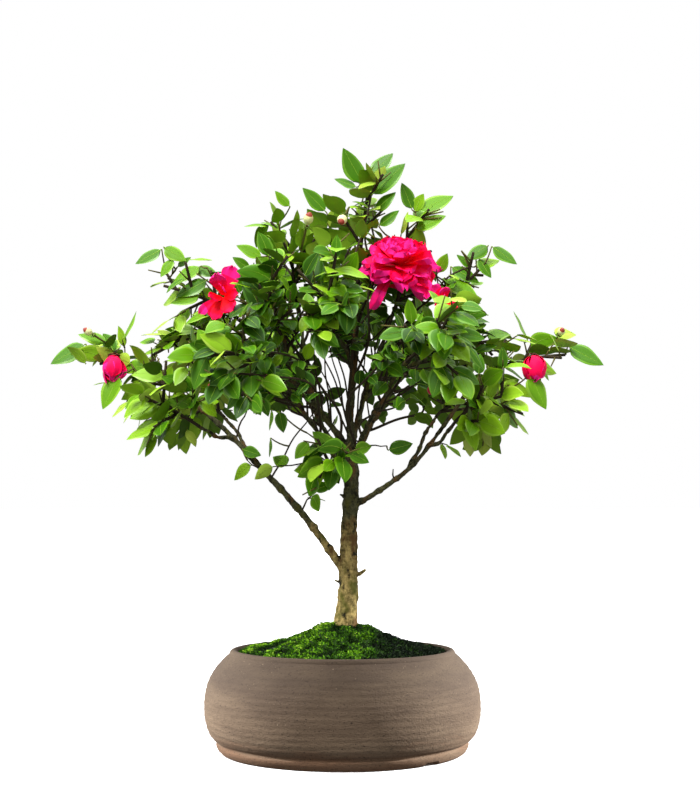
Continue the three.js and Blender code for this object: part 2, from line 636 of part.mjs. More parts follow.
// The stalk of a flower comes up behind it, from the stem that bears it.
function stalkLimb(flower, stem) {
  const middle = vector(flower.middle);
  const axis = vector(flower.faces).normalize();
  const root = stem.at(flower.at);
  const behind = FLOWER_BACK * flower.radius + FLOWER_STALK_BEND * root.distanceTo(middle);
  const bend = middle.clone().addScaledVector(axis, -behind);
  return new Limb(root, bend, middle, () => FLOWER_STALK_RADIUS);
}

// The space of a flower and of its outlook, which leaves keep out of.
function outlookLimb(flower) {
  const middle = vector(flower.middle);
  const far = middle.clone().addScaledVector(vector(flower.faces).normalize(), FLOWER_OUTLOOK);
  return new Limb(middle, middle.clone().lerp(far, 0.5), far, () => flower.radius);
}

// A flower: two scalloped whorls of petals as one rosette, fused to its own stalk.
function flowerSolid(flower, stalk) {
  const axis = vector(flower.faces).normalize();
  const [side, over] = squareTo(axis);
  const placed = new THREE.Matrix4().makeBasis(side, over, axis).setPosition(vector(flower.middle));
  const rosette = rosetteGeometry(flower.radius).applyMatrix4(placed);
  return solidOf(rosette).add(stalk.solid(STEM_SIDES, STEM_STEP));
}

// Radius and height from the back of a rosette to its middle, in shares of its radius; the outer
// whorl's tips fall between those of the inner one.
function rosetteGeometry(radius) {
  const profile = [
    [0, -FLOWER_BACK],
    [0.5, -0.36],
    [1, 0.02],
    [0.7, 0.1],
    [0.74, 0.36],
    [0.3, 0.26],
    [0, 0.34],
  ].map(([out, up]) => new THREE.Vector2(out * radius, up * radius));
  const rosette = turned(profile, 2 * FLOWER_PETALS);
  const positions = rosette.getAttribute("position");
  for (let i = 0; i < positions.count; i++) {
    const [x, y, z] = [positions.getX(i), positions.getY(i), positions.getZ(i)];
    const whorl = z < 0.05 * radius ? 1 : -1;
    const scallop = 1 + whorl * PETAL_SCALLOP * Math.cos(FLOWER_PETALS * Math.atan2(y, x));
    positions.setXY(i, x * scallop, y * scallop);
  }
  return rosette;
}

const trunk = trunkLimb();
const boughs = boughLimbs(trunk);
const stems = stemLimbs(boughs);
const stalks = new Map(FLOWERS.map((flower) => [flower.name, stalkLimb(flower, stems.get(flower.on))]));
const outlooks = FLOWERS.map(outlookLimb);
const limbs = [trunk, ...boughs.values(), ...stalks.values(), ...outlooks];

// The space of a mass lies nearer to its own stem than to any other, clear of limbs, flowers and the
// flowers' outlooks. A point is tested with the radius of what is to stand there.
function freeSpace(mass) {
  const own = stems.get(mass.name);
  const others = [...stems.values()].filter((stem) => stem !== own);
  return (point, radius = 0) => {
    const distance = own.distanceTo(point);
    const room = LIMB_CLEARANCE + radius;
    if (distance > mass.spread) return false;
    if (limbs.some((limb) => limb.clearance(point) < room)) return false;
    return others.every((stem) => stem.distanceTo(point) > distance + SPACE_MARGIN);
  };
}

// Each bough is cut to fit the limbs made before it, with a gap.
function boughMeshes() {
  const earlier = [trunkSolid(trunk, GAP)];
  return [...boughs].map(([name, limb]) => {
    const whole = limb.solid(BOUGH_SIDES, BOUGH_STEP);
    const cut = largestBody(whole.subtract(wasm.Manifold.union(earlier)));
    earlier.push(limb.solid(BOUGH_SIDES, BOUGH_STEP, GAP));
    return meshOf(`bough_${name}`, cut, MATERIALS.bark);
  });
}

const bonsai = new THREE.Group();
bonsai.name = "camellia_bonsai";
bonsai.add(meshOf("pot", potSolid(), MATERIALS.pot));
bonsai.add(meshOf("soil", soilSolid(), MATERIALS.soil));
bonsai.add(meshOf("moss", mossSolid(trunkSolid(trunk, GAP)), MATERIALS.moss));
bonsai.add(meshOf("trunk", trunkSolid(trunk, 0), MATERIALS.bark));
bonsai.add(...boughMeshes());
for (const mass of MASSES) {
  const stem = stems.get(mass.name);
  const grown = growMass(mass, stem, freeSpace(mass));
  bonsai.add(meshOf(`leaves_${mass.name}`, massSolid(stem, grown), MATERIALS.leaf));
}
for (const flower of FLOWERS) {
  const stem = stems.get(flower.on);
  const whole = flowerSolid(flower, stalks.get(flower.name));
  const cut = whole.subtract(stem.solid(STEM_SIDES, STEM_STEP, GAP));
  bonsai.add(meshOf(`flower_${flower.name}`, largestBody(cut), MATERIALS.petal));
}

export default bonsai;
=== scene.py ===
"""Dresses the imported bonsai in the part's frame: pot, soil, moss, bark, twigs, leaves and flowers."""
import math

import bpy
import numpy as np
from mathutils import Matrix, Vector, noise


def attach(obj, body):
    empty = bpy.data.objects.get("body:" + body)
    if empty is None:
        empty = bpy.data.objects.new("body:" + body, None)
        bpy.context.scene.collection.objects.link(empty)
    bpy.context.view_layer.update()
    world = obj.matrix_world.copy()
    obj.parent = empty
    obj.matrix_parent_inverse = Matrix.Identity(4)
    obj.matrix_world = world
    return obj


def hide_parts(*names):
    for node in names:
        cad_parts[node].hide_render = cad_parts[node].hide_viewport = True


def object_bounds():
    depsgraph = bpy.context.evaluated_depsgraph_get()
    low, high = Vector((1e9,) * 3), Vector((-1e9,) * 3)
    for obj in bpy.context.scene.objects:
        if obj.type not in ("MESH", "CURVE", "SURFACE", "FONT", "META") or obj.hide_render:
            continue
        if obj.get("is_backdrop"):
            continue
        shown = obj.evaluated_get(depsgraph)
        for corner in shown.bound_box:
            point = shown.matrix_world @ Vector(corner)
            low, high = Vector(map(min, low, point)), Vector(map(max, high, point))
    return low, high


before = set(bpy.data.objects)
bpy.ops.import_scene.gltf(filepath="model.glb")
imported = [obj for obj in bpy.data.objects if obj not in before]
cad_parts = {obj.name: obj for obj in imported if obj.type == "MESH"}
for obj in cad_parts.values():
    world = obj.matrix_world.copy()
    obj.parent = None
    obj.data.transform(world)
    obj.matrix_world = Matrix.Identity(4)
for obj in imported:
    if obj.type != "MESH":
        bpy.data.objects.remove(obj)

CAD_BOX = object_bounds()
MM = 0.001  # sizes below are in millimetres, Blender's are in metres
BODY = "root"

# Camera: the photograph's viewpoint, in metres
CAMERA_EYE = (0.0068, -1.419, 0.225)
CAMERA_TARGET = (0.0068, 0.0, 0.3173)
CAMERA_LENS = 70.0
CAMERA_SENSOR = 36.0

# Pot
POT_HEIGHT = 92
BELLY_RADIUS = 125
BELLY_HEIGHT = 43
FOOT_RADIUS = 107
FOOT_HEIGHT = 10
FOOT_SWELL = 6
GROOVE_DEPTH = 1.6
RIM_RADIUS = 98
LIP_RADIUS = 4
WALL = 9
HEEL = 3
BELLY_PULL = {"below": 14, "above": 22}
HEEL_PULL = {"inward": 3, "up": 8}
SHOULDER_PULL = {"out": 17, "down": 14}
POT_SIDES = 220
NOTCHES = {"count": 3, "first": -46, "width": 20, "height": 4, "depth": 12}
DRAINS = {"count": 3, "first": 14, "circle": 52, "radius": 6, "sides": 32}

# Soil and moss
GROUND_HEIGHT = 112
GAP = 0.3
MOSS_PEAK = 119
MOSS_SLOPE = 0.3
MOSS_CREST = 8
MOSS_THICKNESS = 6
MOSS_EDGE_RADIUS = 91

# Trunk
TRUNK_FOOT = (2.5, 0, GROUND_HEIGHT + GAP)
TRUNK_BEND = (9.5, 0, 200)
TRUNK_FORK = (6.5, 0, 278)
TRUNK_RADIUS = {"foot": 9.6, "fork": 6.2, "power": 1.3, "flare": 2.4, "flare_share": 0.05}
TRUNK_PHASE = 0.6
STUBS = (
    # share of the trunk's length, direction in degrees, length, radius
    (0.19, 172, 7, 1.6),
    (0.23, -8, 11, 1.9),
    (0.66, 196, 6, 1.8),
)
STUB_RISE = 35
STUB_TAPER = 0.7

# Limbs
WOBBLE = 1.1
WOBBLE_TURNS = (9, 7)
AXIS_PIECES = 12
LENGTH_PIECES = 200  # for measuring
TANGENT_STEP = 0.02
JOINTS_FROM = 4  # a stalk never starts on the first pieces of a shoot
LIMB_CLEARANCE = 1.2
SPACE_MARGIN = 2.4
LEAF_ROOM = 2.5
BOUGHS = (
    # name, limb that bears it, share of that limb, tip, bow half-way, radius at base and at end
    ("left_low", "trunk", 0.25, (-150, -4, 324), 15, 3.6, 1.9),
    ("left_skirt", "left_low", 0.68, (-127, -36, 291), -3, 2, 1.5),
    ("left_rear", "left_low", 0.54, (-112, 54, 304), 2, 2, 1.5),
    ("right_low", "trunk", 0.64, (112, -4, 322), -16, 2.7, 1.7),
    ("right_skirt", "right_low", 0.68, (98, -34, 292), -4, 2, 1.5),
    ("right_rear", "right_low", 0.5, (88, 54, 304), 2, 2, 1.5),
    ("front_left", "trunk", 0.72, (-60, -62, 334), 10, 2.4, 1.6),
    ("rear_left", "trunk", 0.78, (-48, 72, 338), 8, 2.4, 1.6),
    ("rear_right", "trunk", 0.83, (56, 76, 342), 8, 2.3, 1.6),
    ("front_right", "trunk", 0.87, (56, -66, 346), 8, 2.3, 1.6),
    ("left_mid", "trunk", 0.95, (-96, 4, 362), 16, 2.8, 1.7),
    ("left_upper", "left_mid", 0.62, (-94, -18, 390), 4, 2.1, 1.5),
    ("centre_left", "left_mid", 0.5, (-54, -38, 372), 4, 2, 1.5),
    ("right_upper", "trunk", 0.97, (46, 2, 396), 6, 2.8, 1.8),
    ("right_mid", "right_upper", 0.34, (92, -2, 362), 4, 2.3, 1.6),
    ("right_high", "right_mid", 0.62, (92, -18, 398), 2, 1.9, 1.4),
    ("top", "trunk", 0.99, (14, 4, 424), 0, 2.9, 1.9),
    ("front_mid", "top", 0.42, (-6, -38, 378), 4, 2.2, 1.5),
    ("rear_mid", "top", 0.5, (14, 52, 388), 4, 2.2, 1.5),
    ("upper_left", "left_mid", 0.34, (-42, 6, 408), 6, 2.3, 1.6),
    ("upper_rear", "top", 0.74, (8, 34, 436), 2, 1.9, 1.5),
    ("inner", "front_left", 0.14, (-6, -24, 258), 0, 1.6, 1.3),
)

# Masses of leaves: name, end of the stem, spread round it, number of twigs, seed
MASSES = (
    ("left_low", (-228, -8, 356), 56, 6, 10),
    ("left_skirt", (-178, -56, 318), 54, 5, 30),
    ("left_rear", (-168, 104, 322), 60, 5, 30),
    ("right_low", (203, -8, 358), 56, 6, 5),
    ("right_skirt", (150, -56, 320), 54, 5, 49),
    ("right_rear", (142, 104, 322), 60, 5, 30),
    ("front_left", (-98, -126, 350), 60, 5, 45),
    ("rear_left", (-76, 146, 364), 60, 5, 11),
    ("rear_right", (90, 146, 368), 60, 5, 20),
    ("front_right", (96, -126, 362), 60, 5, 64),
    ("left_mid", (-160, 12, 378), 54, 5, 6),
    ("left_upper", (-166, -26, 420), 50, 5, 54),
    ("centre_left", (-72, -84, 412), 56, 5, 3),
    ("right_upper", (60, 6, 484), 52, 6, 37),
    ("right_mid", (146, 12, 374), 54, 5, 30),
    ("right_high", (128, -26, 438), 42, 5, 28),
    ("top", (24, 2, 515), 48, 6, 5),
    ("front_mid", (-8, -98, 416), 58, 6, 22),
    ("rear_mid", (14, 122, 432), 60, 5, 45),
    ("upper_left", (-46, -6, 464), 54, 6, 9),
    ("upper_rear", (4, 66, 488), 54, 5, 33),
    ("inner", (-18, -56, 258), 44, 4, 30),
)
GOLDEN_ANGLE = math.radians(137.5)
ANY_TURN = 6  # radians, nearly a full turn
STREAMS = {"per_mass": 1000, "leaves": 500, "stem_leaves": 999, "sprigs": 200, "sprig_leaves": 700}
STEM_ONWARD = 0.4
STEM_END_RADIUS = 1.3
TWIG_RADIUS = (1.6, 1.2)
TWIG_SPAN = (0.08, 0.92)
TWIG_OFFSET = 0.2
TWIG_JITTER = 0.6
TWIG_LEAN = (42, 72)
TWIG_LENGTH = (0.46, 0.72)
TWIG_RISE = 0.2
TWIG_STEP = 4
SHORTEST_TWIG = 11
NO_LENGTH = 0.01  # of a shoot that finds no room
LEAF_LENGTH = (31, 41)
LEAF_WIDTH = 0.58
LEAF_WIDEST = 0.46
LEAF_SPACING = 9.5
LEAF_LEAN = (38, 66)
LEAF_FLATNESS = 0.75
LEAF_DROOP = 0.1
LEAF_FOLD = 0.07
LEAF_STALK = 0.07
LEAF_ATTEMPTS = 8
LEAF_TURN = 1.9
LEAF_APART = 6
TIP_LEAF_LEAN = 22
FIRST_LEAF = 0.36
STEM_LEAVES_FROM = 0.45
LEAF_FACING = {"up": 0.45, "outward": 0.7, "scatter": 0.8}
FOLIAGE_MIDDLE = np.array((0.0, 0.0, 330.0))

# Finer twigs, which the solids leave out
SPRIGS_PER_TWIG = 5
SPRIG_SPAN = (0.25, 0.95)
SPRIG_LEAN = (38, 68)
SPRIG_LENGTH = (0.4, 0.75)  # shares of the twig that bears it
SHORTEST_SPRIG = 7
SPRIG_STEP = 2
SPRIG_RADIUS = (0.9, 0.6)
SPRIG_LEAF_LENGTH = (25, 36)
SPRIG_LEAF_SPACING = 7
SPRIG_FIRST_LEAF = 0.3
SPRIG_LEAF_APART = 4

# Side shoots of the boughs inside the head; the low boughs are bare
CLEAN_BOUGHS = ("left_low", "left_skirt", "left_rear", "right_low", "right_skirt", "right_rear", "inner")
SIDE_SHOOT_SPACING = 20
SIDE_SHOOT_SPAN = (0.4, 0.96)
SIDE_SHOOT_LEAN = (26, 58)
SIDE_SHOOT_RISE = 0.5
SIDE_SHOOT_LENGTH = (26, 62)
SIDE_SHOOT_TRIES = (1, 0.7, 0.45)
SIDE_SHOOT_RADIUS = (1.0, 0.55)
SIDE_SHOOT_CLEARANCE = 1.0
SIDE_SHOOT_CLEAR_FROM = 3  # pieces from its root
SIDE_SHOOT_STREAM = 90000

# Second limbs: thin ones that leave a bough low down and lead to twigs of its mass
SECOND_LIMBS = 3
SECOND_ROOT = (0.1, 0.7)
SECOND_TIP = (0.15, 0.6)
SECOND_ONWARD = 0.45  # share of its reach that a second limb first goes along its bough
SECOND_SWAY = 0.42
SECOND_WOBBLE = 4.5
SECOND_RADIUS = (1.3, 0.9)
SECOND_CLEAR_FROM = 4  # pieces from its root
SECOND_STREAM = 97000

# Small leaves on these shoots, outside the bare space round the fork of the trunk
INNER_LEAF_LENGTH = (19, 30)
INNER_LEAF_SPACING = 8
INNER_LEAVES_FROM = 0.35
INNER_LEAF_APART = 5
INNER_BARE = 88
INNER_STREAM = 98000

# Where the sky shows from the front, as places across and up and a radius: no leaf grows there
SKY_SHARES = np.linspace(1, 0.1, 19)  # of a twig, tried from its tip inwards
SKY = (
    (6, 505, 9), (14, 471, 12), (52, 476, 7), (82, 466, 9), (-72, 468, 8),
    (-132, 447, 8), (-154, 460, 8), (-180, 414, 17), (-196, 404, 14), (-162, 404, 10),
    (119, 458, 9), (144, 436, 9), (140, 420, 15), (160, 408, 12), (140, 394, 12),
    (-240, 338, 22), (-218, 320, 12), (-158, 264, 13), (-142, 272, 10),
    (212, 340, 20), (190, 322, 12), (172, 308, 14), (130, 264, 13), (114, 270, 13),
    (-22, 304, 14), (56, 344, 18), (64, 312, 18), (-18, 229, 16), (-42, 240, 8),
)

# Single shoots that show in the open: bearer, share of its length, bow, tip, number of leaves
OPEN_SHOOT_RADIUS = (0.9, 0.5)
OPEN_LEAF_LENGTH = (20, 30)
OPEN_LEAF_STEP = 0.22  # share of the shoot from leaf to leaf
OPEN_STREAM = 95000
OPEN_SHOOTS = (
    ("left_low", 0.45, 3, (-24, -14, 308), 0),
    ("left_low", 0.28, 1, (-26, -9, 234), 3),
    ("left_low", 0.66, 4, (-84, -12, 312), 2),
    ("left_low", 0.46, -1, (-86, -12, 262), 2),
    ("inner", 0.8, 2, (-62, -18, 256), 2),
    ("right_upper", 0.06, -3, (40, -12, 275), 0),
    ("right_low", 0.66, 3, (94, -14, 276), 2),
    ("right_low", 0.38, 0, (46, -6, 254), 0),
    ("top", 0.03, 3, (-24, -12, 352), 0),
    ("top", 0.06, 2, (-12, -14, 366), 0),
    ("top", 0.12, 2, (-26, -10, 378), 0),
    ("top", 0.2, 1, (-10, -18, 384), 0),
    ("left_mid", 0.16, 2, (-18, -12, 372), 0),
    ("left_mid", 0.24, 3, (-30, -14, 384), 0),
    ("right_upper", 0.12, 2, (22, -16, 372), 0),
    ("right_upper", 0.2, 2, (34, -18, 378), 0),
    ("right_mid", 0.25, 2, (52, -16, 368), 0),
    ("left_upper", 0.92, 2, (-80, -24, 440), 5),
)

# Leaves that mark the outline, faces turned to the front, each on a stalk from the nearest shoot: root, tip
MARK_FACING = np.array((0, -2, 0.4))
MARK_CLEAR = np.array((11, 40, 11))  # across, deep and up: no other leaf has its middle as near as this
MARK_STALK_SAG = 0.15
OUTLINE_LEAVES = (
    ((19, -6, 515), (0, -10, 549)),
    ((26, 0, 525), (47, 4, 547)),
    ((26, -8, 505), (58, -12, 534)),
    ((29, -10, 490), (49, -14, 507)),
    ((64, -4, 492), (54, -8, 517)),
    ((69, 0, 492), (103, 4, 507)),
    ((66, -10, 473), (95, -14, 485)),
    ((-15, -10, 489), (-37, -14, 511)),
    ((13, -10, 512), (-8, -14, 519)),
    ((-48, -10, 494), (-62, -14, 508)),
    ((-164, -20, 453), (-188, -22, 439)),
    ((-162, -22, 455), (-141, -26, 441)),
    ((-153, -24, 444), (-164, -28, 426)),
    ((-234, -8, 368), (-266, -10, 349)),
    ((-200, -30, 339), (-214, -34, 306)),
    ((205, -8, 366), (238, -10, 348)),
    ((168, -30, 339), (182, -34, 306)),
    ((135, -24, 455), (158, -26, 438)),
    ((132, -24, 456), (111, -28, 442)),
    ((123, -26, 444), (134, -30, 425)),
    ((98, -22, 437), (124, -26, 421)),
    ((-128, -24, 437), (-153, -28, 421)),
    ((-134, -20, 436), (-112, -24, 429)),
    ((-121, -30, 424), (-150, -34, 407)),
    ((-127, -34, 410), (-154, -38, 401)),
    ((-150, -18, 437), (-137, -20, 446)),
    ((91, -30, 424), (122, -34, 407)),
    ((97, -34, 410), (124, -38, 401)),
    ((118, -18, 437), (103, -22, 448)),
    ((41, -12, 271), (64, -15, 277)),
    ((-56, -40, 305), (-52, -42, 285)),
    ((-91, -10, 272), (-73, -16, 266)),
    ((-73, -14, 447), (-97, -18, 457)),
    ((-84, -16, 435), (-100, -20, 446)),
    ((-92, -20, 412), (-104, -24, 436)),
    ((86, -20, 431), (95, -24, 449)),
    ((33, -10, 476), (52, -14, 490)),
)
# The same for leaves that are seen edge on
EDGE_FACING = np.array((2, -0.8, 0))
EDGE_LEAVES = (
    ((-200, -12, 371), (-187, -14, 398)),
    ((168, -12, 371), (155, -14, 398)),
    ((-64, -16, 308), (-66, -18, 288)),
    ((-65, -14, 282), (-66, -16, 264)),
)

# Flowers: name, mass that bears it, share of that mass's stem, middle, radius, the way it opens
FLOWERS = (
    ("large", "right_upper", 0.5, (51, -40, 442), 34, (0, -1, 0.5)),
    ("left", "left_upper", 0.42, (-110, -60, 416), 19, (-0.4, -1, 0.2)),
    ("right", "right_high", 0.4, (90, -54, 408), 13, (0.3, -1, 0.1)),
    ("left_tip", "left_low", 0.62, (-206, -26, 346), 12, (-0.2, -1, -0.3)),
    ("right_tip", "right_low", 0.62, (172, -26, 346), 12, (0.2, -1, -0.3)),
    ("rear_left", "rear_left", 0.55, (-92, 132, 352), 20, (-0.3, 1, 0.1)),
    ("rear_top", "upper_rear", 0.4, (48, 76, 450), 26, (0.3, 1, 0.3)),
)
FLOWER_STALK_RADIUS = 1.3
FLOWER_STALK_BEND = 0.3
FLOWER_BACK = 0.45
FLOWER_OUTLOOK = 45

MASK = 0xFFFFFFFF
NEARLY_DEEP = 0.8  # a direction that runs nearly along Y


# A repeatable stream of numbers from 0 to 1, the same as the source's.
def seeded_random(seed):
    state = seed & MASK

    def draw():
        nonlocal state
        state = (state + 0x6D2B79F5) & MASK
        mixed = ((state ^ (state >> 15)) * (state | 1)) & MASK
        mixed ^= (mixed + (mixed ^ (mixed >> 7)) * (mixed | 61)) & MASK
        return (mixed ^ (mixed >> 14)) / (MASK + 1)

    return draw


def between(limits, share):
    return limits[0] + (limits[1] - limits[0]) * share


def unit(vector):
    return vector / np.linalg.norm(vector)


def units(vectors):
    return vectors / np.linalg.norm(vectors, axis=-1, keepdims=True)


def scatter_from(random):
    return np.array([random() - 0.5 for _ in range(3)])


# Two directions square to a tangent and to each other.
def square_to(tangent):
    is_deep = abs(tangent[1]) >= NEARLY_DEEP
    reference = np.array((1.0, 0.0, 0.0)) if is_deep else np.array((0.0, 1.0, 0.0))
    side = unit(np.cross(reference, tangent))
    return side, np.cross(tangent, side)


# The direction that leans away from an axis, turned about it.
def leaning(axis, lean, turn):
    side, over = square_to(axis)
    outward = side * math.cos(turn) + over * math.sin(turn)
    return axis * math.cos(lean) + outward * math.sin(lean)


def tapering(base, end):
    return lambda share: base + (end - base) * share


class Limb:
    """A quadratic curve that wobbles a little, and a radius at each share of its length."""

    def __init__(self, start, bend, tip, radius_at, wobble=0.0, phase=0.0):
        self.start, self.bend, self.tip = (np.array(point, float) for point in (start, bend, tip))
        self.radius_at = radius_at
        self.wobble = wobble
        self.phase = phase
        self.side, self.over = square_to(unit(self.tip - self.start))
        chords = np.diff(self.curve(np.linspace(0, 1, LENGTH_PIECES + 1)), axis=0)
        self.length = float(np.linalg.norm(chords, axis=1).sum())
        self.axis = self.at(np.linspace(0, 1, AXIS_PIECES + 1))

    def curve(self, share):
        share = np.asarray(share, float)[..., None]
        return (1 - share) ** 2 * self.start + 2 * share * (1 - share) * self.bend + share**2 * self.tip

    def at(self, share):
        share = np.asarray(share, float)
        fade = self.wobble * np.sin(np.pi * share)
        sideways = fade * np.sin(WOBBLE_TURNS[0] * share + self.phase)
        upward = fade * np.cos(WOBBLE_TURNS[1] * share + 2 * self.phase)
        return self.curve(share) + sideways[..., None] * self.side + upward[..., None] * self.over

    def tangent(self, share):
        return unit(self.at(min(1, share + TANGENT_STEP)) - self.at(max(0, share - TANGENT_STEP)))

    def pieces(self):
        return np.stack((self.axis[:-1], self.axis[1:]), axis=1)


# Distance from each point to each straight piece.
def distances(points, pieces):
    start = pieces[:, 0]
    run = pieces[:, 1] - start
    share = ((points[:, None] - start) * run).sum(-1) / np.maximum((run * run).sum(-1), 1e-12)
    nearest = start + np.clip(share, 0, 1)[..., None] * run
    return np.linalg.norm(points[:, None] - nearest, axis=-1)


# Whether any of the straight pieces passes through any of the triangles.
def any_pierces(pieces, triangles):
    if len(pieces) == 0 or len(triangles) == 0:
        return False
    start = pieces[:, None, 0]
    run = pieces[:, None, 1] - start
    length = np.maximum(np.linalg.norm(run, axis=-1), 1e-9)
    direction = run / length[..., None]
    corner = triangles[None, :, 0]
    first = triangles[None, :, 1] - corner
    second = triangles[None, :, 2] - corner
    normal = np.cross(first, second)
    facing = (direction * normal).sum(-1)
    sign = np.sign(facing)
    facing = np.abs(facing)
    away = start - corner
    along_first = sign * (direction * np.cross(away, second)).sum(-1)
    along_second = sign * (direction * np.cross(first, away)).sum(-1)
    reach = -sign * (away * normal).sum(-1)
    inside = (along_first >= 0) & (along_second >= 0) & (along_first + along_second <= facing)
    return bool(((facing > 0) & inside & (reach >= 0) & (reach < facing * length)).any())


# Trunk, boughs, stems, flower stalks
def trunk_limb():
    size = TRUNK_RADIUS

    def radius_at(share):
        taper = size["fork"] + (size["foot"] - size["fork"]) * (1 - share) ** size["power"]
        return taper + size["flare"] * np.exp(-share / size["flare_share"])

    return Limb(TRUNK_FOOT, TRUNK_BEND, TRUNK_FORK, radius_at, WOBBLE, TRUNK_PHASE)


def stub_limbs(trunk):
    limbs = []
    for at, turn, length, radius in STUBS:
        turn = math.radians(turn)
        out = unit(np.array((math.cos(turn), math.sin(turn), math.tan(math.radians(STUB_RISE)))))
        root = trunk.at(at)
        tip = root + out * (trunk.radius_at(at) + length)
        limbs.append(Limb(root, (root + tip) / 2, tip, tapering(radius, radius * STUB_TAPER)))
    return limbs


def bough_limbs(trunk):
    limbs = {"trunk": trunk}
    for i, (name, bearer, at, tip, bow, base, end) in enumerate(BOUGHS):
        start = limbs[bearer].at(at)
        tip = np.array(tip, float)
        bend = (start + tip) / 2 + np.array((0, 0, 2 * bow))
        limbs[name] = Limb(start, bend, tip, tapering(base, end), WOBBLE, i)
    del limbs["trunk"]
    return limbs


def stem_limbs(boughs):
    stems = {}
    for name, end, *_ in MASSES:
        bough = boughs[name]
        onward = bough.tangent(1)
        start = bough.at(1) + onward * GAP
        end = np.array(end, float)
        bend = start + onward * STEM_ONWARD * np.linalg.norm(end - start)
        stems[name] = Limb(start, bend, end, tapering(bough.radius_at(1), STEM_END_RADIUS))
    return stems


def stalk_limb(flower, stems):
    _, mass, at, middle, radius, faces = flower
    middle = np.array(middle, float)
    axis = unit(np.array(faces, float))
    root = stems[mass].at(at)
    behind = FLOWER_BACK * radius + FLOWER_STALK_BEND * np.linalg.norm(middle - root)
    return Limb(root, middle - axis * behind, middle, lambda share: FLOWER_STALK_RADIUS + 0 * share)


# The space of a flower and of its outlook, which leaves keep out of.
def outlook_limb(flower):
    _, _, _, middle, radius, faces = flower
    middle = np.array(middle, float)
    far = middle + unit(np.array(faces, float)) * FLOWER_OUTLOOK
    return Limb(middle, (middle + far) / 2, far, lambda share: radius)


TRUNK = trunk_limb()
BOUGH_LIMBS = bough_limbs(TRUNK)
STEMS = stem_limbs(BOUGH_LIMBS)
STALKS = {flower[0]: stalk_limb(flower, STEMS) for flower in FLOWERS}


class Space:
    """A mass's space: nearer to its own stem than to others, clear of limbs, flowers and outlooks."""

    outlooks = [outlook_limb(flower) for flower in FLOWERS]
    limbs = [TRUNK, *BOUGH_LIMBS.values(), *STALKS.values(), *outlooks]
    limb_pieces = np.concatenate([limb.pieces() for limb in limbs])
    limb_radii = np.concatenate([np.full(AXIS_PIECES, float(limb.radius_at(0))) for limb in limbs])

    def __init__(self, name, spread):
        self.spread = spread
        self.own = STEMS[name].pieces()
        self.others = np.concatenate([stem.pieces() for other, stem in STEMS.items() if other != name])

    def frees(self, points, radius=0.0):
        points = np.atleast_2d(points)
        own = distances(points, self.own).min(axis=1)
        if (own > self.spread).any():
            return False
        room = distances(points, self.limb_pieces) - self.limb_radii
        if room.min() < LIMB_CLEARANCE + radius:
            return False
        others = distances(points, self.others).min(axis=1)
        return bool((others > own + SPACE_MARGIN).all())


class Leaf:
    """A leaf: its root on a shoot, the way it points, the way its face looks, its length and its spray."""

    def __init__(self, root, along, scatter, length, spray=0, share=1, is_mark=False):
        outward = unit(root - FOLIAGE_MIDDLE)
        facing = np.array((0, 0, LEAF_FACING["up"])) + outward * LEAF_FACING["outward"]
        facing = facing + scatter * LEAF_FACING["scatter"]
        self.spray = spray
        self.share = share
        self.is_mark = is_mark
        self.root = root
        self.along = along
        self.across = unit(np.cross(facing, along))
        self.over = np.cross(along, self.across)
        self.length = length
        tip = self.point(1, 0, -LEAF_DROOP)
        left = self.point(LEAF_WIDEST, LEAF_WIDTH / 2, LEAF_FOLD)
        right = self.point(LEAF_WIDEST, -LEAF_WIDTH / 2, LEAF_FOLD)
        neck = self.point(LEAF_STALK, 0, 0)
        near = self.point(LEAF_WIDEST / 2, 0, 0)
        self.middle = self.point(LEAF_WIDEST, 0, 0)
        towards_tip = [(point + tip) / 2 for point in (left, right, self.middle)]
        self.probes = np.array((tip, left, right, self.middle, near, neck, *towards_tip))
        self.halves = np.array(((neck, left, tip), (neck, right, tip)))
        self.edges = np.array(((neck, left), (left, tip), (neck, tip), (neck, right), (right, tip)))

    def point(self, along, across, over):
        return self.root + self.length * (along * self.along + across * self.across + over * self.over)


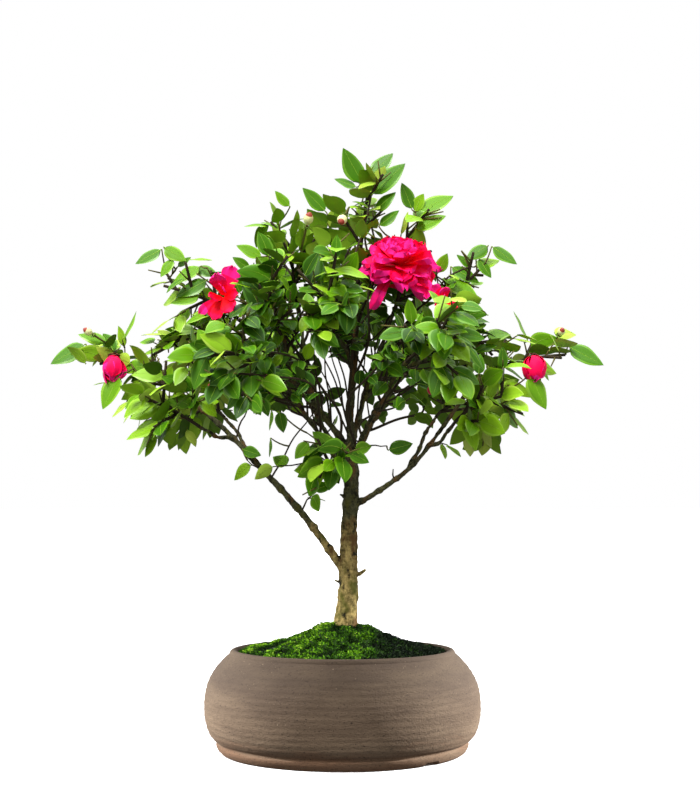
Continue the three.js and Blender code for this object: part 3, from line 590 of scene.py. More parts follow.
class Foliage:
    """What one mass grows: shoots of two orders, and leaves that know their shoot."""

    def __init__(self, mass):
        name, _, self.spread, self.twig_count, self.seed = mass
        self.stream = STREAMS["per_mass"] * self.seed
        self.stem = STEMS[name]
        self.space = Space(name, self.spread)
        self.leaves = []
        self.twigs = []
        self.sprigs = []
        self.grow_twigs()
        self.grow_sprigs()

    def shoots(self):
        return [self.stem, *self.twigs, *self.sprigs]

    # The source's rule: side twigs of the stem, each as long as its space lets it be.
    def grow_twigs(self):
        tried = [self.twig(i) for i in range(self.twig_count)]
        self.twigs = [twig for twig in tried if twig.length > SHORTEST_TWIG]
        for i, twig in enumerate(self.twigs):
            self.add_leaves(twig, FIRST_LEAF, self.stream + STREAMS["leaves"] + i)
        self.add_leaves(self.stem, STEM_LEAVES_FROM, self.stream + STREAMS["stem_leaves"])

    def twig(self, i):
        random = seeded_random(self.stream + i)
        share = between(TWIG_SPAN, (i + TWIG_OFFSET + TWIG_JITTER * random()) / self.twig_count)
        lean = math.radians(between(TWIG_LEAN, random()))
        onward = leaning(self.stem.tangent(share), lean, i * GOLDEN_ANGLE + self.seed + random())
        onward[2] += TWIG_RISE
        wanted = self.spread * between(TWIG_LENGTH, random())
        return self.shoot(self.stem.at(share), unit(onward), wanted, TWIG_STEP, TWIG_RADIUS)

    def shoot(self, root, onward, wanted, step, radius):
        length = 0
        while length < wanted and self.space.frees(root + onward * (length + step), radius[0]):
            length += step
        tip = root + onward * max(length, NO_LENGTH)
        return Limb(root, (root + tip) / 2, tip, tapering(*radius))

    # Finer twigs on the twigs, with smaller leaves, in the room that is left.
    def grow_sprigs(self):
        for i, twig in enumerate([*self.twigs, self.stem]):
            for j in range(SPRIGS_PER_TWIG):
                number = i * SPRIGS_PER_TWIG + j
                random = seeded_random(self.stream + STREAMS["sprigs"] + number)
                share = between(SPRIG_SPAN, (j + random()) / SPRIGS_PER_TWIG)
                lean = math.radians(between(SPRIG_LEAN, random()))
                onward = leaning(twig.tangent(share), lean, number * GOLDEN_ANGLE + ANY_TURN * random())
                onward[2] += TWIG_RISE
                wanted = min(twig.length, self.spread / 2) * between(SPRIG_LENGTH, random())
                sprig = self.shoot(twig.at(share), unit(onward), wanted, SPRIG_STEP, SPRIG_RADIUS)
                blades = self.blades()
                if sprig.length < SHORTEST_SPRIG or any_pierces(sprig.pieces(), blades):
                    continue
                self.sprigs.append(sprig)
                leaf_seed = self.stream + STREAMS["sprig_leaves"] + number
                self.add_leaves(sprig, SPRIG_FIRST_LEAF, leaf_seed, is_fine=True)

    def blades(self):
        if not self.leaves:
            return np.zeros((0, 3, 3))
        return np.concatenate([leaf.halves for leaf in self.leaves])

    def add_leaves(self, shoot, start, seed, is_fine=False):
        random = seeded_random(seed)
        first = 2 * math.pi * random()
        spacing = SPRIG_LEAF_SPACING if is_fine else LEAF_SPACING
        count = max(1, math.floor(shoot.length * (1 - start) / spacing + 0.5))
        wood = np.concatenate([limb.pieces() for limb in self.shoots() if limb is not shoot])
        for i in range(count + 1):
            share = start + (1 - start) * i / count
            leaf = self.leaf_on(shoot, share, first + i * GOLDEN_ANGLE, random, wood, is_fine)
            if leaf:
                leaf.spray = seed
                leaf.share = share
                self.leaves.append(leaf)

    # One leaf, turned round its shoot until it fits, and left out if it never does.
    def leaf_on(self, shoot, share, turn, random, wood, is_fine):
        lean = between(LEAF_LEAN, random()) if share < 1 else TIP_LEAF_LEAN * random()
        length = between(SPRIG_LEAF_LENGTH if is_fine else LEAF_LENGTH, random())
        scatter = scatter_from(random)
        for attempt in range(LEAF_ATTEMPTS):
            along = leaning(shoot.tangent(share), math.radians(lean), turn + attempt * LEAF_TURN)
            if share < 1:
                along[2] *= LEAF_FLATNESS
            leaf = Leaf(shoot.at(share), unit(along), scatter, length)
            if self.fits(leaf, wood, SPRIG_LEAF_APART if is_fine else LEAF_APART):
                return leaf
        return None

    def fits(self, leaf, wood, apart):
        if not self.space.frees(leaf.probes, LEAF_ROOM):
            return False
        if self.leaves:
            middles = np.array([other.middle for other in self.leaves])
            if np.linalg.norm(middles - leaf.middle, axis=1).min() < apart:
                return False
            if any_pierces(leaf.edges, self.blades()):
                return False
            if any_pierces(np.concatenate([other.edges for other in self.leaves]), leaf.halves):
                return False
        return not any_pierces(wood, leaf.halves)


def is_in_sky(point):
    return any(math.hypot(point[0] - x, point[2] - z) < radius for x, z, radius in SKY)


# The share of a twig that ends before the sky.
def reach_to_sky(limb):
    return next((share for share in SKY_SHARES if not is_in_sky(limb.at(share))), SKY_SHARES[-1])


# Boughs that bear shoots inside the head, each with the straight pieces of all the others.
def inner_boughs():
    for name, bough in BOUGH_LIMBS.items():
        if name not in CLEAN_BOUGHS:
            others = [limb.pieces() for other, limb in BOUGH_LIMBS.items() if other != name]
            yield name, bough, np.concatenate(others)


# Thin shoots on the boughs, shortened until they are clear of other limbs.
def side_shoots():
    shoots = []
    for i, (_, bough, others) in enumerate(inner_boughs()):
        random = seeded_random(SIDE_SHOOT_STREAM + i)
        count = round(bough.length / SIDE_SHOOT_SPACING)
        for j in range(count):
            share = between(SIDE_SHOOT_SPAN, (j + random()) / count)
            lean = math.radians(between(SIDE_SHOOT_LEAN, random()))
            onward = leaning(bough.tangent(share), lean, j * GOLDEN_ANGLE + ANY_TURN * random())
            length = between(SIDE_SHOOT_LENGTH, random())
            root = bough.at(share)
            for shorter in SIDE_SHOOT_TRIES:
                bend = root + onward * length * shorter / 2
                tip = bend + unit(onward + np.array((0, 0, SIDE_SHOOT_RISE))) * length * shorter / 2
                shoot = Limb(root, bend, tip, tapering(*SIDE_SHOOT_RADIUS))
                room = distances(shoot.axis[SIDE_SHOOT_CLEAR_FROM:], others).min() - bough.radius_at(0)
                if room > SIDE_SHOOT_CLEARANCE:
                    shoots.append(shoot)
                    break
    return shoots


def second_limbs(foliages):
    limbs = []
    for i, (name, bough, others) in enumerate(inner_boughs()):
        random = seeded_random(SECOND_STREAM + i)
        twigs = foliages[name].twigs
        for j in range(SECOND_LIMBS):
            share = between(SECOND_ROOT, (j + random()) / SECOND_LIMBS)
            root = bough.at(share)
            tip = twigs[math.floor(len(twigs) * random())].at(between(SECOND_TIP, random()))
            onward = bough.tangent(share)
            sway = leaning(onward, math.pi / 2, ANY_TURN * random()) * SECOND_SWAY
            bend = root + (onward * SECOND_ONWARD + sway) * np.linalg.norm(tip - root)
            limb = Limb(root, bend, tip, tapering(*SECOND_RADIUS), SECOND_WOBBLE, ANY_TURN * random())
            room = distances(limb.axis[SECOND_CLEAR_FROM:], others).min() - bough.radius_at(0)
            if room > SECOND_RADIUS[0]:
                limbs.append(limb)
    return limbs


# A leaf that stands in no mass; its lean, turn, scatter and length are drawn in this order.
def loose_leaf(shoot, share, number, is_tip, lengths, spray, random):
    lean = TIP_LEAF_LEAN * random() if is_tip else between(LEAF_LEAN, random())
    turn = number * GOLDEN_ANGLE + ANY_TURN * random()
    along = leaning(shoot.tangent(share), math.radians(lean), turn)
    scatter = scatter_from(random)
    return Leaf(shoot.at(share), along, scatter, between(lengths, random()), spray, share)


# Small leaves along the shoots inside the head, where there is room.
def inner_leaves(shoots, foliages):
    leaves = []
    middles = [leaf.middle for foliage in foliages.values() for leaf in foliage.leaves]
    for i, shoot in enumerate(shoots):
        spray = INNER_STREAM + i
        random = seeded_random(spray)
        count = math.ceil(shoot.length * (1 - INNER_LEAVES_FROM) / INNER_LEAF_SPACING)
        for j in range(count + 1):
            share = INNER_LEAVES_FROM + (1 - INNER_LEAVES_FROM) * j / count
            leaf = loose_leaf(shoot, share, j, j == count, INNER_LEAF_LENGTH, spray, random)
            room = distances(leaf.probes, Space.limb_pieces) - Space.limb_radii
            is_bare = np.linalg.norm(leaf.middle - TRUNK_FORK) < INNER_BARE
            gap = np.linalg.norm(np.array(middles) - leaf.middle, axis=1).min()
            if is_bare or room.min() < 0 or gap < INNER_LEAF_APART:
                continue
            middles.append(leaf.middle)
            leaves.append(leaf)
    return leaves


# Places on shoots where stalks may start.
def joints_of(shoots):
    return np.concatenate([shoot.axis[JOINTS_FROM:] for shoot in shoots])


def nearest_to(place, joints):
    return joints[np.linalg.norm(joints - place, axis=1).argmin()]


# The leaves that mark the outline, and their stalks.
def outline_leaves(shoots):
    joints = joints_of(shoots)
    stalks = []
    leaves = []
    rows = [(*row, MARK_FACING) for row in OUTLINE_LEAVES]
    rows += [(*row, EDGE_FACING * (np.sign(row[0][0]), 1, 1)) for row in EDGE_LEAVES]
    for i, (root, tip, facing) in enumerate(rows):
        root = np.array(root, float)
        reach = np.array(tip, float) - root
        nearest = nearest_to(root, joints)
        sag = np.array((0, 0, MARK_STALK_SAG)) * np.linalg.norm(root - nearest)
        stalks.append(Limb(nearest, (nearest + root) / 2 - sag, root, tapering(*SPRIG_RADIUS)))
        length = np.linalg.norm(reach) / BLADE_SHARE
        leaves.append(Leaf(root, unit(reach), facing, length, spray=i, is_mark=True))
    return stalks, leaves


def clear_of_marks(leaves, marks):
    middles = np.array([mark.middle for mark in marks])

    def is_clear(leaf):
        return np.linalg.norm((middles - leaf.middle) / MARK_CLEAR, axis=1).min() > 1

    return [leaf for leaf in leaves if is_clear(leaf)]


# The shoots in the open, each with a few leaves towards its tip.
def open_shoots():
    shoots = []
    leaves = []
    for i, (bearer, at, bow, tip, count) in enumerate(OPEN_SHOOTS):
        spray = OPEN_STREAM + i
        random = seeded_random(spray)
        root = BOUGH_LIMBS[bearer].at(at)
        tip = np.array(tip, float)
        bend = (root + tip) / 2 + np.array((0, 0, 2 * bow))
        shoot = Limb(root, bend, tip, tapering(*OPEN_SHOOT_RADIUS), WOBBLE, i)
        shoots.append(shoot)
        for j in range(count):
            share = 1 - OPEN_LEAF_STEP * j
            leaves.append(loose_leaf(shoot, share, j, j == 0, OPEN_LEAF_LENGTH, spray, random))
    return shoots, leaves


# Colours, as display values from 0 to 255
def linear(colour):
    shares = np.array(colour) / 255
    return tuple(np.where(shares > 0.04045, ((shares + 0.055) / 1.055) ** 2.4, shares / 12.92))


LEAF_TINTS = (
    # share of the leaves, upper face, underside; from the dark inside of the head, partly painted shade, to
    # the young tips
    (0.17, (40, 76, 5), (62, 92, 16)),
    (0.25, (62, 109, 6), (86, 120, 22)),
    (0.26, (88, 136, 9), (108, 144, 28)),
    (0.20, (117, 161, 17), (130, 166, 40)),
    (0.09, (131, 174, 32), (154, 176, 62)),
    (0.03, (156, 188, 60), (172, 192, 86)),
)
MARK_TINTS = (1, 2)
# leaves deep inside the head are darker, partly as painted shade
TINT_REACH = (230, 600, 190)  # leaves grow brighter as they near these distances from the middle
MIDRIB_COLOUR = (132, 166, 48)
TWIG_COLOUR = (52, 44, 30)
SPRIG_COLOUR = (84, 80, 34)
# petal tints from red to lighter purple-pink; the lighter ones towards the edge are partly a painted
# highlight
PETAL_TINTS = ((240, 0, 22), (242, 0, 44), (242, 4, 76), (240, 32, 132))
SEPAL_TINTS = ((120, 150, 60), (112, 58, 40))
BUD_TINTS = ((222, 224, 160), (228, 150, 140), (190, 40, 60), (150, 62, 48))
MOSS_TINTS = ((6, 16, 4), (20, 43, 5), (45, 81, 8), (88, 134, 16), (144, 178, 54))
FLOOR_COLOUR = (250, 250, 250)


class Look:
    """A material and the nodes that pattern it."""

    def __init__(self, name, colour, roughness, specular=0.5):
        self.material = bpy.data.materials.new(name)
        self.material.use_nodes = True
        self.tree = self.material.node_tree
        self.shader = self.tree.nodes["Principled BSDF"]
        self.shader.inputs["Base Color"].default_value = (*linear(colour), 1)
        self.shader.inputs["Roughness"].default_value = roughness
        self.shader.inputs["Specular IOR Level"].default_value = specular

    def node(self, kind, inputs=None, **settings):
        node = self.tree.nodes.new(kind)
        for key, value in settings.items():
            setattr(node, key, value)
        for key, value in (inputs or {}).items():
            if isinstance(value, bpy.types.NodeSocket):
                self.tree.links.new(value, node.inputs[key])
            else:
                node.inputs[key].default_value = value
        return node

    # The part's own coordinates in metres, stretched along each axis.
    def places(self, stretch=(1, 1, 1)):
        source = self.node("ShaderNodeTexCoord").outputs["Object"]
        return self.node("ShaderNodeMapping", {"Vector": source, "Scale": stretch}).outputs["Vector"]

    def noise(self, scale, detail=4, stretch=(1, 1, 1), roughness=0.55):
        inputs = {"Vector": self.places(stretch), "Scale": scale, "Detail": detail, "Roughness": roughness}
        return self.node("ShaderNodeTexNoise", inputs).outputs["Fac"]

    # A share that runs from 0 at `low` to 1 at `high` of a value.
    def ramp(self, value, low, high):
        inputs = {"Value": value, "From Min": low, "From Max": high}
        return self.node("ShaderNodeMapRange", inputs, clamp=True).outputs["Result"]

    def height(self):
        return self.node("ShaderNodeSeparateXYZ", {"Vector": self.places()}).outputs["Z"]

    def sum(self, first, second, weight=1.0):
        inputs = {0: second, 1: weight, 2: first}
        return self.node("ShaderNodeMath", inputs, operation="MULTIPLY_ADD").outputs["Value"]

    def mix(self, share, first, second):
        node = self.node("ShaderNodeMix", data_type="RGBA")
        for key, value in (("Factor", share), ("A", first), ("B", second)):
            socket = [socket for socket in node.inputs if socket.name == key and socket.enabled][-1]
            if isinstance(value, bpy.types.NodeSocket):
                self.tree.links.new(value, socket)
            elif key == "Factor":
                socket.default_value = value
            else:
                socket.default_value = (*linear(value), 1)
        return [socket for socket in node.outputs if socket.enabled][0]

    def colour(self, source):
        self.tree.links.new(source, self.shader.inputs["Base Color"])

    def bump(self, height, distance, strength=1.0):
        inputs = {"Height": height, "Distance": distance, "Strength": strength}
        node = self.node("ShaderNodeBump", inputs)
        self.tree.links.new(node.outputs["Normal"], self.shader.inputs["Normal"])


def tint_looks(name, tints, roughness, specular):
    return [Look(f"{name}_{i}", colour, roughness, specular).material for i, colour in enumerate(tints)]


# Heights in these looks are in metres, and colours run from 0 to 255.
# Clouded clay: a shoulder painted dark and a paler belly, painted shade and light that even out the light
# from above; a warm foot, drag marks, pits and pale grains.
def stoneware_look():
    look = Look("stoneware", (88, 73, 59), roughness=0.9, specular=0.12)
    clouds = look.noise(14, detail=4, stretch=(1, 1, 5))
    patch = look.ramp(clouds, 0.35, 0.68)
    painted_shade_shoulder = look.mix(patch, (54, 44, 36), (66, 55, 44))
    belly = look.mix(patch, (84, 69, 55), (100, 84, 68))
    # painted shade and light: the clay darkens from the belly up to the shoulder, to even out the light
    # from above
    body = look.mix(look.ramp(look.height(), 0.075, 0.015), painted_shade_shoulder, belly)
    foot = look.ramp(look.sum(look.height(), clouds, 0.05), 0.046, 0.03)
    warm = look.mix(foot, body, (94, 71, 54))
    drag = look.noise(210, detail=4, stretch=(1, 1, 3.2))
    worn = look.mix(look.ramp(drag, 0.52, 1.1), warm, (44, 35, 28))
    pits = look.noise(560, detail=2, stretch=(1, 1, 2.2))
    dotted = look.mix(look.ramp(pits, 0.61, 0.7), worn, (40, 32, 26))
    grains = look.noise(760, detail=2)
    look.colour(look.mix(look.ramp(grains, 0.71, 0.78), dotted, (126, 110, 92)))
    look.bump(look.sum(look.noise(640, detail=3), drag, 1.4), distance=0.0006, strength=0.6)
    return look.material


# Dark crumbs.
def soil_look():
    look = Look("soil", (44, 33, 26), roughness=0.95, specular=0.2)
    look.colour(look.mix(look.ramp(look.noise(260, detail=4), 0.35, 0.7), (24, 18, 14), (74, 56, 42)))
    look.bump(look.noise(420, detail=4), distance=0.002)
    return look.material


# The dark bed under the fronds.
def moss_look():
    look = Look("moss_bed", (38, 70, 14), roughness=0.95, specular=0.15)
    look.colour(look.mix(look.ramp(look.noise(110, detail=5), 0.35, 0.65), (6, 12, 3), (34, 60, 9)))
    look.bump(look.noise(600, detail=3), distance=0.0015)
    return look.material


# Fissured bark, pale low on the trunk and dark above, with mossy, brown and black patches.
def bark_look():
    look = Look("bark", (84, 72, 46), roughness=0.9, specular=0.15)
    patches = look.noise(70, detail=5, stretch=(1, 1, 0.55))
    fibres = look.noise(190, detail=6, stretch=(1, 1, 0.35), roughness=0.7)
    scales = look.noise(260, detail=5, stretch=(1, 1, 1.3), roughness=0.7)
    grain = look.ramp(look.sum(fibres, scales), 0.8, 1.22)
    pale = look.mix(grain, (66, 57, 28), (172, 150, 92))
    dark = look.mix(grain, (28, 29, 16), (90, 89, 60))
    change = look.sum(look.height(), patches, 0.05)
    wood = look.mix(look.ramp(change, 0.219, 0.237), pale, dark)
    mossy = look.mix(look.ramp(patches, 0.54, 0.68), wood, (80, 78, 30))
    brown = look.mix(look.ramp(patches, 0.47, 0.38), mossy, (92, 68, 38))
    blotches = look.noise(130, detail=4, stretch=(1, 1, 0.8))
    look.colour(look.mix(look.ramp(blotches, 0.56, 0.66), brown, (30, 28, 16)))
    look.bump(look.sum(fibres, look.noise(520, detail=3), 0.6), distance=0.0009)
    return look.material


# Joined pieces, tubes and bodies of revolution
def into_scene(name, data):
    made = bpy.data.objects.new(name, data)
    bpy.context.scene.collection.objects.link(made)
    return made


class Pile:
    """Triangles gathered for one joined piece, each with the number of its material."""

    def __init__(self, *first):
        self.places = []
        self.faces = []
        self.looks = []
        self.count = 0
        if first:
            self.add(*first)

    def add(self, places, faces, look=0):
        places = np.asarray(places, float).reshape(-1, 3)
        faces = np.asarray(faces).reshape(-1, 3)
        self.places.append(places)
        self.faces.append(faces + self.count)
        self.looks.append(np.zeros(len(faces), np.int32) + look)
        self.count += len(places)

    def mesh(self, name):
        mesh = bpy.data.meshes.new(name)
        places = np.concatenate(self.places) * MM
        mesh.from_pydata(places.tolist(), [], np.concatenate(self.faces).tolist())
        mesh.polygons.foreach_set("material_index", np.concatenate(self.looks))
        mesh.update()
        return mesh


# Puts a mesh into the scene as a piece of the part.
def piece(mesh, materials, nodes, sharp_angle=None):
    made = into_scene(mesh.name, mesh)
    for material in materials:
        mesh.materials.append(material)
    mesh.shade_smooth()
    if sharp_angle is not None:
        mesh.set_sharp_from_angle(angle=math.radians(sharp_angle))
    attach(made, BODY)
    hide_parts(*nodes)
    return made


# Two triangles for each cell of a grid of corner numbers.
def grid_faces(numbers):
    a, b = numbers[:-1, :-1].ravel(), numbers[:-1, 1:].ravel()
    c, d = numbers[1:, 1:].ravel(), numbers[1:, :-1].ravel()
    return np.concatenate((np.stack((a, b, c), axis=1), np.stack((a, c, d), axis=1)))


# Corners and triangles of rings of points, closed at both ends; `rings` is rows by sides by 3.
def rings_solid(rings):
    rows, sides = rings.shape[:2]
    corners = rings.reshape(-1, 3)
    ends = np.array((rings[0].mean(axis=0), rings[-1].mean(axis=0)))
    numbers = np.arange(rows * sides).reshape(rows, sides)
    numbers = np.concatenate((numbers, numbers[:, :1]), axis=1)
    first, last = numbers[0], numbers[-1]
    end = np.full(sides, len(corners))
    front = np.stack((first[1:], first[:-1], end), axis=1)
    back = np.stack((last[:-1], last[1:], end + 1), axis=1)
    return np.concatenate((corners, ends)), np.concatenate((grid_faces(numbers), front, back))


# Places round a circle of radius 1.
def circle(sides):
    angles = 2 * np.pi * np.arange(sides) / sides
    return np.stack((np.cos(angles), np.sin(angles)), axis=1)


# A closed tube along points, with its sides carried along without twist.
def tube(points, radii, sides):
    tangents = units(np.gradient(points, axis=0))
    round_x, round_y = circle(sides).T[..., None]
    side, _ = square_to(tangents[0])
    rings = []
    for point, tangent, radius in zip(points, tangents, radii):
        side = unit(side - tangent * (side @ tangent))
        over = np.cross(tangent, side)
        rings.append(point + radius * (round_x * side + round_y * over))
    return rings_solid(np.array(rings))


# A limb as a tube, as far as a share of its length; it is as slim at that end as at its own.
def limb_tube(limb, sides, step, reach=1.0):
    count = max(2, math.ceil(limb.length / step) + 1)
    shares = np.linspace(0, 1, count)
    return tube(limb.at(shares * reach), limb.radius_at(shares) + np.zeros(count), sides)


# A profile of radius and height turned about the Z axis; it starts and ends on the axis.
def turned(profile, sides):
    profile = np.array(profile, float)
    inner = profile[1:-1]
    heights = np.repeat(inner[:, None, 1:], sides, axis=1)
    corners, faces = rings_solid(np.concatenate((inner[:, None, :1] * circle(sides), heights), axis=2))
    corners[-2] = (0, 0, profile[0][1])
    corners[-1] = (0, 0, profile[-1][1])
    return corners, faces


# Points of a Bezier curve with any number of control points.
def curve_points(points, steps):
    share = np.linspace(0, 1, steps + 1)[:, None]
    points = [np.array(point, float) + np.zeros((steps + 1, 2)) for point in points]
    while len(points) > 1:
        points = [a + (b - a) * share for a, b in zip(points, points[1:])]
    return points[0]


# Smooth noise at a place, for lumps of the given sizes.
def noise_at(place, sizes):
    return noise.noise(Vector([part / size for part, size in zip(place, sizes)]))


# Pot
POT_STEPS = 46
LIP_STEPS = 12
FOOT_STEPS = 8
FOOT_FLARE = 1
FOOT_BEND = 2
GROOVE_EDGE = {"below": 2, "above": 1}
RING_SPACING = 5.4
RING_DEPTH = 0.16
RING_STRAY = (60, 60, 40)
CLAY_UNEVEN = 0.35
CLAY_LUMPS = (34, 34, 12)
CLAY_INSET = 0.4
UNDERSIDE = 1  # below this height the clay is flat
NOTCH_CORNER = {"up": 0.4, "across": 0.7}
POT_SHARP = 38


def wall_outline(outward):
    heel = (FOOT_RADIUS + FOOT_SWELL + HEEL + outward, FOOT_HEIGHT + HEEL)
    lower = (
        heel,
        (BELLY_RADIUS - HEEL_PULL["inward"] + outward, FOOT_HEIGHT + HEEL_PULL["up"]),
        (BELLY_RADIUS + outward, BELLY_HEIGHT - BELLY_PULL["below"]),
        (BELLY_RADIUS + outward, BELLY_HEIGHT),
    )
    upper = (
        lower[-1],
        (BELLY_RADIUS + outward, BELLY_HEIGHT + BELLY_PULL["above"]),
        (RIM_RADIUS + SHOULDER_PULL["out"] + outward, POT_HEIGHT - SHOULDER_PULL["down"]),
        (RIM_RADIUS + LIP_RADIUS + outward, POT_HEIGHT - LIP_RADIUS),
    )
    return np.concatenate((curve_points(lower, POT_STEPS // 2), curve_points(upper, POT_STEPS)[1:]))


def pot_profile():
    foot_out = FOOT_RADIUS + FOOT_SWELL + FOOT_FLARE
    below = (foot_out, FOOT_HEIGHT - GROOVE_EDGE["below"])
    within = (foot_out - 2 * GROOVE_DEPTH, FOOT_HEIGHT)
    above = (foot_out, FOOT_HEIGHT + HEEL - GROOVE_EDGE["above"])
    foot = curve_points(((FOOT_RADIUS, 0), (FOOT_RADIUS + FOOT_SWELL, FOOT_BEND), below), FOOT_STEPS)
    groove = curve_points((below, within, above), FOOT_STEPS)
    angles = np.linspace(0, np.pi, LIP_STEPS + 1)[1:-1]
    lip_heights = POT_HEIGHT - LIP_RADIUS + LIP_RADIUS * np.sin(angles)
    lip = np.stack((RIM_RADIUS + LIP_RADIUS * np.cos(angles), lip_heights), axis=1)
    inside = wall_outline(-WALL)[::-1]
    floor = np.linspace(0, FOOT_RADIUS, FOOT_STEPS)[1:-1]
    under = np.stack((floor, np.zeros_like(floor)), axis=1)
    top = np.stack((floor[::-1], np.full_like(floor, inside[-1][1])), axis=1)
    outside = np.concatenate((foot, groove[1:], wall_outline(0)))
    return [(0, 0), *under, *outside, *lip, *inside, *top, (0, inside[-1][1])]


# Throwing rings and an uneven hand-made surface, on the outside only.
def thrown(corners):
    moved = corners.copy()
    for i, corner in enumerate(corners):
        radius = math.hypot(corner[0], corner[1])
        if radius < FOOT_RADIUS or corner[2] < UNDERSIDE:
            continue
        turn = 2 * math.pi * corner[2] / RING_SPACING + 2 * noise_at(corner, RING_STRAY)
        uneven = CLAY_UNEVEN * noise_at(corner, CLAY_LUMPS)
        moved[i, :2] *= (radius + RING_DEPTH * math.sin(turn) + uneven - CLAY_INSET) / radius
    return moved


def cut_away(target, name, corners, faces):
    cutter = into_scene(name, Pile(corners, faces).mesh(name))
    cut = target.modifiers.new(name, "BOOLEAN")
    cut.operation = "DIFFERENCE"
    cut.solver = "EXACT"
    cut.object = cutter
    return cutter


# Applies a piece's modifiers and removes the objects that they used.
def settle(target, helpers=()):
    graph = bpy.context.evaluated_depsgraph_get()
    mesh = bpy.data.meshes.new_from_object(target.evaluated_get(graph))
    target.modifiers.clear()
    old = target.data
    target.data = mesh
    mesh.name = target.name
    bpy.data.meshes.remove(old)
    for helper in helpers:
        bpy.data.objects.remove(helper)
    return mesh


def rotated(corners, degrees):
    cosine, sine = math.cos(math.radians(degrees)), math.sin(math.radians(degrees))
    return corners @ np.array(((cosine, -sine, 0), (sine, cosine, 0), (0, 0, 1))).T


# A box for a notch, with its upper edges rounded off.
def notch_solid():
    half = NOTCHES["width"] / 2
    height = NOTCHES["height"]
    up = NOTCH_CORNER["up"] * height
    across = NOTCH_CORNER["across"] * half
    right = ((half, -height), (half, up), (across, height))
    outline = ((-half, -height), *right, (-across, height), (-half, up))
    start = FOOT_RADIUS - NOTCHES["depth"]
    reach = np.array((start, start + 2 * (NOTCHES["depth"] + FOOT_SWELL)))
    rings = np.array([[(out, y, z) for y, z in outline] for out in reach])
    return rings_solid(rings)


def make_pot():
    corners, faces = turned(pot_profile(), POT_SIDES)
    mesh = Pile(thrown(corners), faces).mesh("stoneware_pot")
    pot = piece(mesh, [stoneware_look()], ["pot"])
    helpers = []
    corners, faces = notch_solid()
    for i in range(NOTCHES["count"]):
        place = rotated(corners, NOTCHES["first"] + 360 * i / NOTCHES["count"])
        helpers.append(cut_away(pot, f"notch_{i}", place, faces))
    depth = 4 * WALL
    for i in range(DRAINS["count"]):
        profile = [(0, -depth), (DRAINS["radius"], -depth), (DRAINS["radius"], depth), (0, depth)]
        corners, faces = turned(profile, DRAINS["sides"])
        corners = corners + np.array((DRAINS["circle"], 0, 0))
        place = rotated(corners, DRAINS["first"] + 360 * i / DRAINS["count"])
        helpers.append(cut_away(pot, f"drain_{i}", place, faces))
    mesh = settle(pot, helpers)
    mesh.shade_smooth()
    mesh.set_sharp_from_angle(angle=math.radians(POT_SHARP))


# Soil and moss
MOSS_SIDES = 220
MOSS_ROWS = 72
MOSS_REACH = MOSS_EDGE_RADIUS + 3
MOSS_SINK = ((18, 4.5), (40, 7.5), (75, 8.5), (94, 3.5))  # radius, depth of the bed below the source's moss
MOSS_UNDERSIDE = (2.0, MOSS_EDGE_RADIUS / 2, MOSS_EDGE_RADIUS)
MOSS_INNERMOST = 1.5
MOSS_FADE = 16  # the cushions are lower this near to the edge
MOSS_FADE_START = 0.25
SOIL_SIDES = 120
SOIL_EDGE = {"inward": 1, "down": 2, "above_wall": 4}
SOIL_TOP_ROWS = 12
SOIL_TOP_SPAN = (4, 18)  # from this far inside the rim to this radius
DOME_FALL = 1.3
CUSHION_WIDTH = 13
CUSHION_HEIGHT = 5
CUSHION_SHARE = 0.65
CUSHION_LAYER = 3.0  # of the noise
TUFT_WIDTH = 4.4
TUFT_HEIGHT = 1.3
TUFT_SHARE = 0.35
TUFT_LAYER = 7.0
FROND_SEED = 5
FROND_COUNT = 30000
FROND_LENGTH = (2.2, 4.4)
FROND_WIDTH = 1.0
FROND_FOOT = 0.6  # its width at the foot, as a share
FROND_WIDEST = 0.55
FROND_DROOP = 0.25
FROND_SINK = 0.6
FROND_CLEARANCE = 1  # from the trunk
FROND_SPREAD = 0.8
FROND_SPREAD_UP = 0.4
FROND_RISE = 0.25
FROND_CENTRE = 90  # fronds fan out from a place this far below
# tones of the fronds: painted light on the crests, painted shade in the valleys and on the shady side
FROND_TONE = {"start": -0.5, "painted_light_crest": 3.7, "patch": 2.0, "chance": 0.6, "shade": 2.8}
PATCH_SIZE = 22
SHADE_STRAY = 14
SHADY_SIDE = (22, 40)  # the moss is darker from the first to the second distance to the right


def moss_height(radius):
    return MOSS_PEAK - MOSS_SLOPE * np.hypot(radius, MOSS_CREST)


# How far a place stands up out of the valleys of a field of domes, from 0 to 1.
def dome(x, y, width, layer):
    nearest = noise.voronoi(Vector((x / width, y / width, layer)))[0][0]
    return max(0.0, 1 - DOME_FALL * nearest * nearest)


# The height of cushions and tufts at a place, and how far it stands up out of the valleys, from 0 to 1,
# which paints light on the fronds of the crests and shade in the valleys.
def moss_relief(x, y):
    cushion = dome(x, y, CUSHION_WIDTH, CUSHION_LAYER)
    tuft = dome(x, y, TUFT_WIDTH, TUFT_LAYER)
    height = CUSHION_HEIGHT * cushion + TUFT_HEIGHT * tuft
    return height, CUSHION_SHARE * cushion + TUFT_SHARE * tuft


def moss_top(x, y):
    radius = math.hypot(x, y)
    fade = min(1.0, MOSS_FADE_START + (MOSS_REACH - radius) / MOSS_FADE)
    sink = np.interp(radius, *zip(*MOSS_SINK))
    return float(moss_height(radius)) + fade * moss_relief(x, y)[0] - sink


